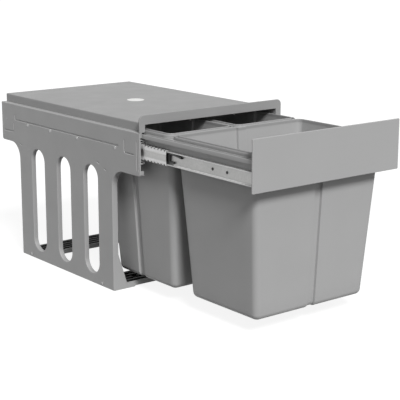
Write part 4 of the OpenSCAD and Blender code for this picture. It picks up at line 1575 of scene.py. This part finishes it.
@dataclass
class TaperedBin:
    """Moulded bin: a rounded rectangle carried up a draft, over a beaded rim and down inside.

    At the height z the half sizes are a = w / 2 - lean (top - z) / depth + offset, and the corner
    radius is the bin's plus the offset. A groove draws the wall in by g(c) at the distance c from
    its middle, g falling from its full depth to nothing between the groove's floor and its edge.
    """

    name: str
    node: str
    body: str
    centre: tuple[float, float]
    size: tuple[float, float]
    grooves: Facing
    depth: float = 289.5
    wall: float = 2.0
    lean: tuple[float, float] = (21.0, 18.0)
    corner: float = 12.0
    foot: float = 10.0
    rim: float = 7.0
    groove_w: float = 18.0
    groove_d: float = 5.0
    groove_shift: float = 0.0
    groove_top: float = 5.0
    floor_inset: float = 0.8

    def section(self) -> tuple[Array, Array, Array]:
        """Offsets, heights and shares of the groove, from under the floor round to its inside.

        Returns:
            The three rows, one value for each ring.
        """
        top, low, f, t = RAIL_TOP_Z, RAIL_TOP_Z - self.depth, self.foot, self.wall
        a = np.linspace(0, math.pi / 2, 9)
        fade = np.linspace(0, 1, 7)[1:]
        high = top - self.groove_top
        rise = np.linspace(low + f, high, 12)[1:]
        level = np.zeros(len(rise) + len(fade) + 1)
        outer_o = np.r_[-f - self.floor_inset, -f + f * np.sin(a), level, 0.15, 0.8]
        foot_z = low + f - f * np.cos(a)
        outer_z = np.r_[low, foot_z, rise, high + 3 * fade, top - 1.2, top - 0.35, top]
        outer_g = np.r_[np.ones(1 + len(a) + len(rise)), 1 - smooth_step(fade), 0, 0, 0]
        rim_o = np.r_[self.rim - OUTER_BEAD[:, 0], INNER_BEAD[:, 0]]
        rim_z = top + np.r_[OUTER_BEAD[:, 1], INNER_BEAD[:, 1]]
        rim_g = np.r_[np.zeros(len(rim_o) - 7), 0.5, 0.9, np.ones(5)]
        r = f - t / 2
        fall = np.linspace(top - 2, low + t + r, 12)
        inner_o = np.r_[np.full(12, -t), -t - r + r * np.sin(a[::-1]), -t - r - self.floor_inset]
        inner_z = np.r_[fall, low + t + r - r * np.cos(a[::-1]), low + t]
        return (
            np.r_[outer_o, rim_o, inner_o],
            np.r_[outer_z, rim_z, inner_z],
            np.r_[outer_g, rim_g, np.ones(len(inner_o))],
        )

    def around(self, half: Array, radius: Array, wide: Array) -> tuple[Array, Array, Array]:
        """Rounded rectangles anticlockwise from the middle of the +X wall.

        Args:
            half: Half sizes of each ring as rows of two.
            radius: Corner radius of each ring.
            wide: Half width of the groove in each ring.

        Returns:
            Ring points, their unit vectors inward for a groove, and the groove's share there.
        """
        knots = wide[:, None] * GROOVE_KNOTS
        last = knots[:, -1:]
        arc = np.linspace(0, math.pi / 2, 11)
        bend = radius[:, None]
        points, inward, cut = [], [], []
        for turn in range(4):
            axis = turn % 2
            grooved = (axis == 0) is (self.grooves is Facing.ACROSS)
            wall, reach = half[:, axis], (half[:, 1 - axis] - radius)[:, None]
            half_side = np.concatenate([knots, last + (reach - last) * WALL_STEPS], 1)
            shares = GROOVE_SHARES if grooved else 0 * GROOVE_SHARES
            share = np.concatenate([shares, 0 * WALL_STEPS])
            along = np.concatenate([-half_side[:, :0:-1], half_side], 1)
            if grooved:
                away = np.clip((reach - np.abs(along)) / (reach - last), 0, 1)
                along = along + away * self.groove_shift * (1 if turn < 2 else -1)
            side = np.stack([np.tile(wall[:, None], (1, along.shape[1])), along], -1)
            middle = (wall - radius)[:, None]
            bow = np.stack([middle + bend * np.cos(arc), reach + bend * np.sin(arc)], -1)
            local = np.concatenate([side, bow], 1)
            c, s = math.cos(turn * math.pi / 2), math.sin(turn * math.pi / 2)
            spin = np.array([[c, s], [-s, c]])
            points.append(local @ spin)
            inward.append(np.tile(np.array([-1.0, 0.0]) @ spin, (local.shape[1], 1)))
            cut.append(np.concatenate([share[:0:-1], share, np.zeros(len(arc))]))
        return np.concatenate(points, 1), np.concatenate(inward), np.concatenate(cut)

    def build(self) -> None:
        """Makes the bin."""
        offset, z, groove = self.section()
        wide = self.groove_w / 2 + np.where(offset > -self.wall, 0, self.wall)
        drop = (RAIL_TOP_Z - np.minimum(z, RAIL_TOP_Z))[:, None] / self.depth
        half = np.array(self.size) / 2 - np.array(self.lean) * drop + offset[:, None]
        radius = np.maximum(self.corner + offset, 0.8)
        at, inward, cut = self.around(half, radius, wide)
        at = at + inward[None] * (self.groove_d * groove[:, None] * cut[None])[..., None]
        height = np.broadcast_to(z[:, None, None], (*at.shape[:2], 1))
        shell = Shell()
        shell.add_rings(np.concatenate([at + np.array(self.centre), height], -1))
        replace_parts(shell.piece(self.name, BIN_PLASTIC, self.body, smooth_deg=40), self.node)


@dataclass
class Studio:
    """Camera, soft light and white surroundings."""

    camera_at: tuple[float, float, float] = (-1366.73, -1962.49, 680.88)
    right: tuple[float, float, float] = (0.78615, -0.61803, 0.0)
    up: tuple[float, float, float] = (0.14049, 0.17871, 0.97382)
    focal_px: float = 1166.35
    image_px: float = 400.0
    sensor: float = 36.0
    clip: tuple[float, float] = (0.05, 50.0)
    ambient: float = 0.32
    key: float = 2.75
    key_turn: float = -19.0
    key_lift: float = 42.0
    key_spread: float = 18.0
    floor_glow: float = 0.88
    floor_cloud_mm: float = 2000 / 3
    floor_half: float = 12000.0
    floor_z: float = -0.4

    def camera(self) -> None:
        """Sets the camera where the picture was taken from."""
        data = bpy.data.cameras.new("camera")
        data.sensor_width = self.sensor
        data.lens = self.focal_px * self.sensor / self.image_px
        data.clip_start, data.clip_end = self.clip
        made = bpy.data.objects.new("camera", data)
        bpy.context.scene.collection.objects.link(made)
        right, up = np.array(self.right), np.array(self.up)
        matrix = np.eye(4)
        matrix[:3, :3] = np.stack([right, up, np.cross(right, up)], 1)
        matrix[:3, 3] = np.array(self.camera_at) * MM
        made.matrix_world = Matrix(matrix.tolist())
        bpy.context.scene.camera = made

    def lights(self) -> None:
        """Adds one soft key lamp from the front left above; the world lights the rest."""
        data = bpy.data.lights.new("key_lamp", "SUN")
        data.energy, data.angle = self.key, math.radians(self.key_spread)
        made = bpy.data.objects.new("key_lamp", data)
        bpy.context.scene.collection.objects.link(made)
        made.rotation_euler = (math.radians(90 - self.key_lift), 0, math.radians(self.key_turn))

    def seen(self, tree: Tree) -> Socket:
        """1 for rays of the camera, of gloss and of glass, 0 for the light on the object.

        Args:
            tree: Node tree of the world or the floor.

        Returns:
            The value.
        """
        path = add_node(tree, "ShaderNodeLightPath").outputs
        seen = path["Is Camera Ray"]
        for kind in ("Is Glossy Ray", "Is Transmission Ray"):
            links = {0: seen, 1: path[kind]}
            seen = add_node(tree, "ShaderNodeMath", links=links, operation="MAXIMUM").outputs[0]
        return seen

    def world(self) -> None:
        """White to the eye and in reflections, a plain grey level as light on the object."""
        made = bpy.data.worlds.new("studio")
        made.use_nodes = True
        tree = made.node_tree
        tree.nodes.clear()
        white = linear("#FFFFFF")
        light = add_node(tree, "ShaderNodeBackground", {"Color": white, "Strength": self.ambient})
        shown = add_node(tree, "ShaderNodeBackground", {"Color": white, "Strength": 1.0})
        links = {0: self.seen(tree), 1: light.outputs[0], 2: shown.outputs[0]}
        both = add_node(tree, "ShaderNodeMixShader", links=links)
        add_node(tree, "ShaderNodeOutputWorld", links={"Surface": both.outputs[0]})
        bpy.context.scene.world = made

    def floor_paint(self) -> bpy.types.Material:
        """Matt paint that keeps the shadow: seen light = 0.88 + about 0.22 of what falls on it.

        Returns:
            The material.
        """
        made = bpy.data.materials.new("studio_floor")
        made.use_nodes = True
        tree = made.node_tree
        tree.nodes.clear()
        place = add_node(tree, "ShaderNodeTexCoord").outputs["Object"]
        values = {"Scale": per_metre(self.floor_cloud_mm), "Detail": 2.0}
        drift = add_node(tree, NOISE, values, {"Vector": place})
        greys = {COLOUR_A: linear("#808080"), COLOUR_B: linear("#848484")}
        links = {FACTOR: drift.outputs["Fac"]}
        tone = add_node(tree, "ShaderNodeMix", greys, links, data_type="RGBA").outputs[MIXED]
        matt = add_node(tree, "ShaderNodeBsdfDiffuse", links={"Color": tone}).outputs[0]
        values = {"Color": linear("#FFFFFF"), "Strength": self.floor_glow}
        glow = add_node(tree, "ShaderNodeEmission", values).outputs[0]
        lit = add_node(tree, "ShaderNodeAddShader", links={0: matt, 1: glow}).outputs[0]
        both = add_node(tree, "ShaderNodeMixShader", links={0: self.seen(tree), 1: matt, 2: lit})
        add_node(tree, "ShaderNodeOutputMaterial", links={"Surface": both.outputs[0]})
        return made

    def floor(self) -> None:
        """A wide flat floor just under the object."""
        mesh = bpy.data.meshes.new("floor")
        r, z = self.floor_half * MM, self.floor_z * MM
        mesh.from_pydata([(-r, -r, z), (r, -r, z), (r, r, z), (-r, r, z)], [], [(0, 1, 2, 3)])
        mesh.materials.append(self.floor_paint())
        plane = bpy.data.objects.new("floor", mesh)
        bpy.context.scene.collection.objects.link(plane)

    def build(self) -> None:
        """Sets up the camera, lamp, world and floor."""
        bpy.context.scene.view_settings.view_transform = "Standard"
        self.camera()
        self.lights()
        self.world()
        self.floor()


# CAD nodes whose shape is right as it is, with what they wear
CARRIED = {
    "base_bar_front": FRAME_PAINT, "base_bar_rear": FRAME_PAINT, "base_tread_front": TREAD_RUBBER,
    "base_tread_rear": TREAD_RUBBER, "base_rivets": RIVET_METAL, "lid_screws": SCREW_ZINC,
    "slide_buffer_left": BLACK_ACETAL, "slide_buffer_right": BLACK_ACETAL,
    "outer_cage_left": CAGE_ZINC, "outer_cage_right": CAGE_ZINC,
    "outer_balls_left": BALL_STEEL, "outer_balls_right": BALL_STEEL,
    "inner_balls_left": BALL_STEEL, "inner_balls_right": BALL_STEEL,
    "slide_inner_nuts": SCREW_ZINC, "panel_nuts": SCREW_ZINC,
    "release_lever_left": BLACK_ACETAL, "release_lever_right": BLACK_ACETAL,
}


def bins() -> list[TaperedBin]:
    """The wide front bin and the two narrow rear ones.

    Returns:
        The bins with their places and sizes.
    """
    front_size, rear_size = (298.0, 216.0), (141.55, 216.0)
    front_y, rear_x, rear_y, rear_shift = -450.8, 78.225, -219.9, 12.0
    centre = (0.0, front_y)
    made = [
        TaperedBin("wide_front_bin", "bin_front", "front_bin", centre, front_size, Facing.ALONG)
    ]
    for side in Side:
        word, centre = side.word, (side.value * rear_x, rear_y)
        names = (f"narrow_rear_bin_{word}", f"bin_rear_{word}", f"rear_bin_{word}")
        rear = TaperedBin(*names, centre, rear_size, Facing.ACROSS, groove_shift=rear_shift)
        made.append(rear)
    return made


def main() -> None:
    """Builds the piece classes in order and reports each one."""
    logging.basicConfig(level=logging.INFO, format="%(message)s")
    Studio().build()
    for node, finish in CARRIED.items():
        dress_node(node, finish)
    for side in Side:
        SideFrame().build(side)
        log.info("side frame %s", side.word)
    Lid().build()
    FrontPanel().build()
    log.info("lid and front panel")
    slides = Slides()
    for side in Side:
        slides.build(side)
        BallCages().build(side)
    slides.fasteners()
    log.info("slides and ball cages")
    DrawerFrame().build()
    log.info("drawer frame")
    for one in bins():
        one.build()
        log.info("%s", one.name)
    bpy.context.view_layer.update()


if __name__ == "__main__":
    main()
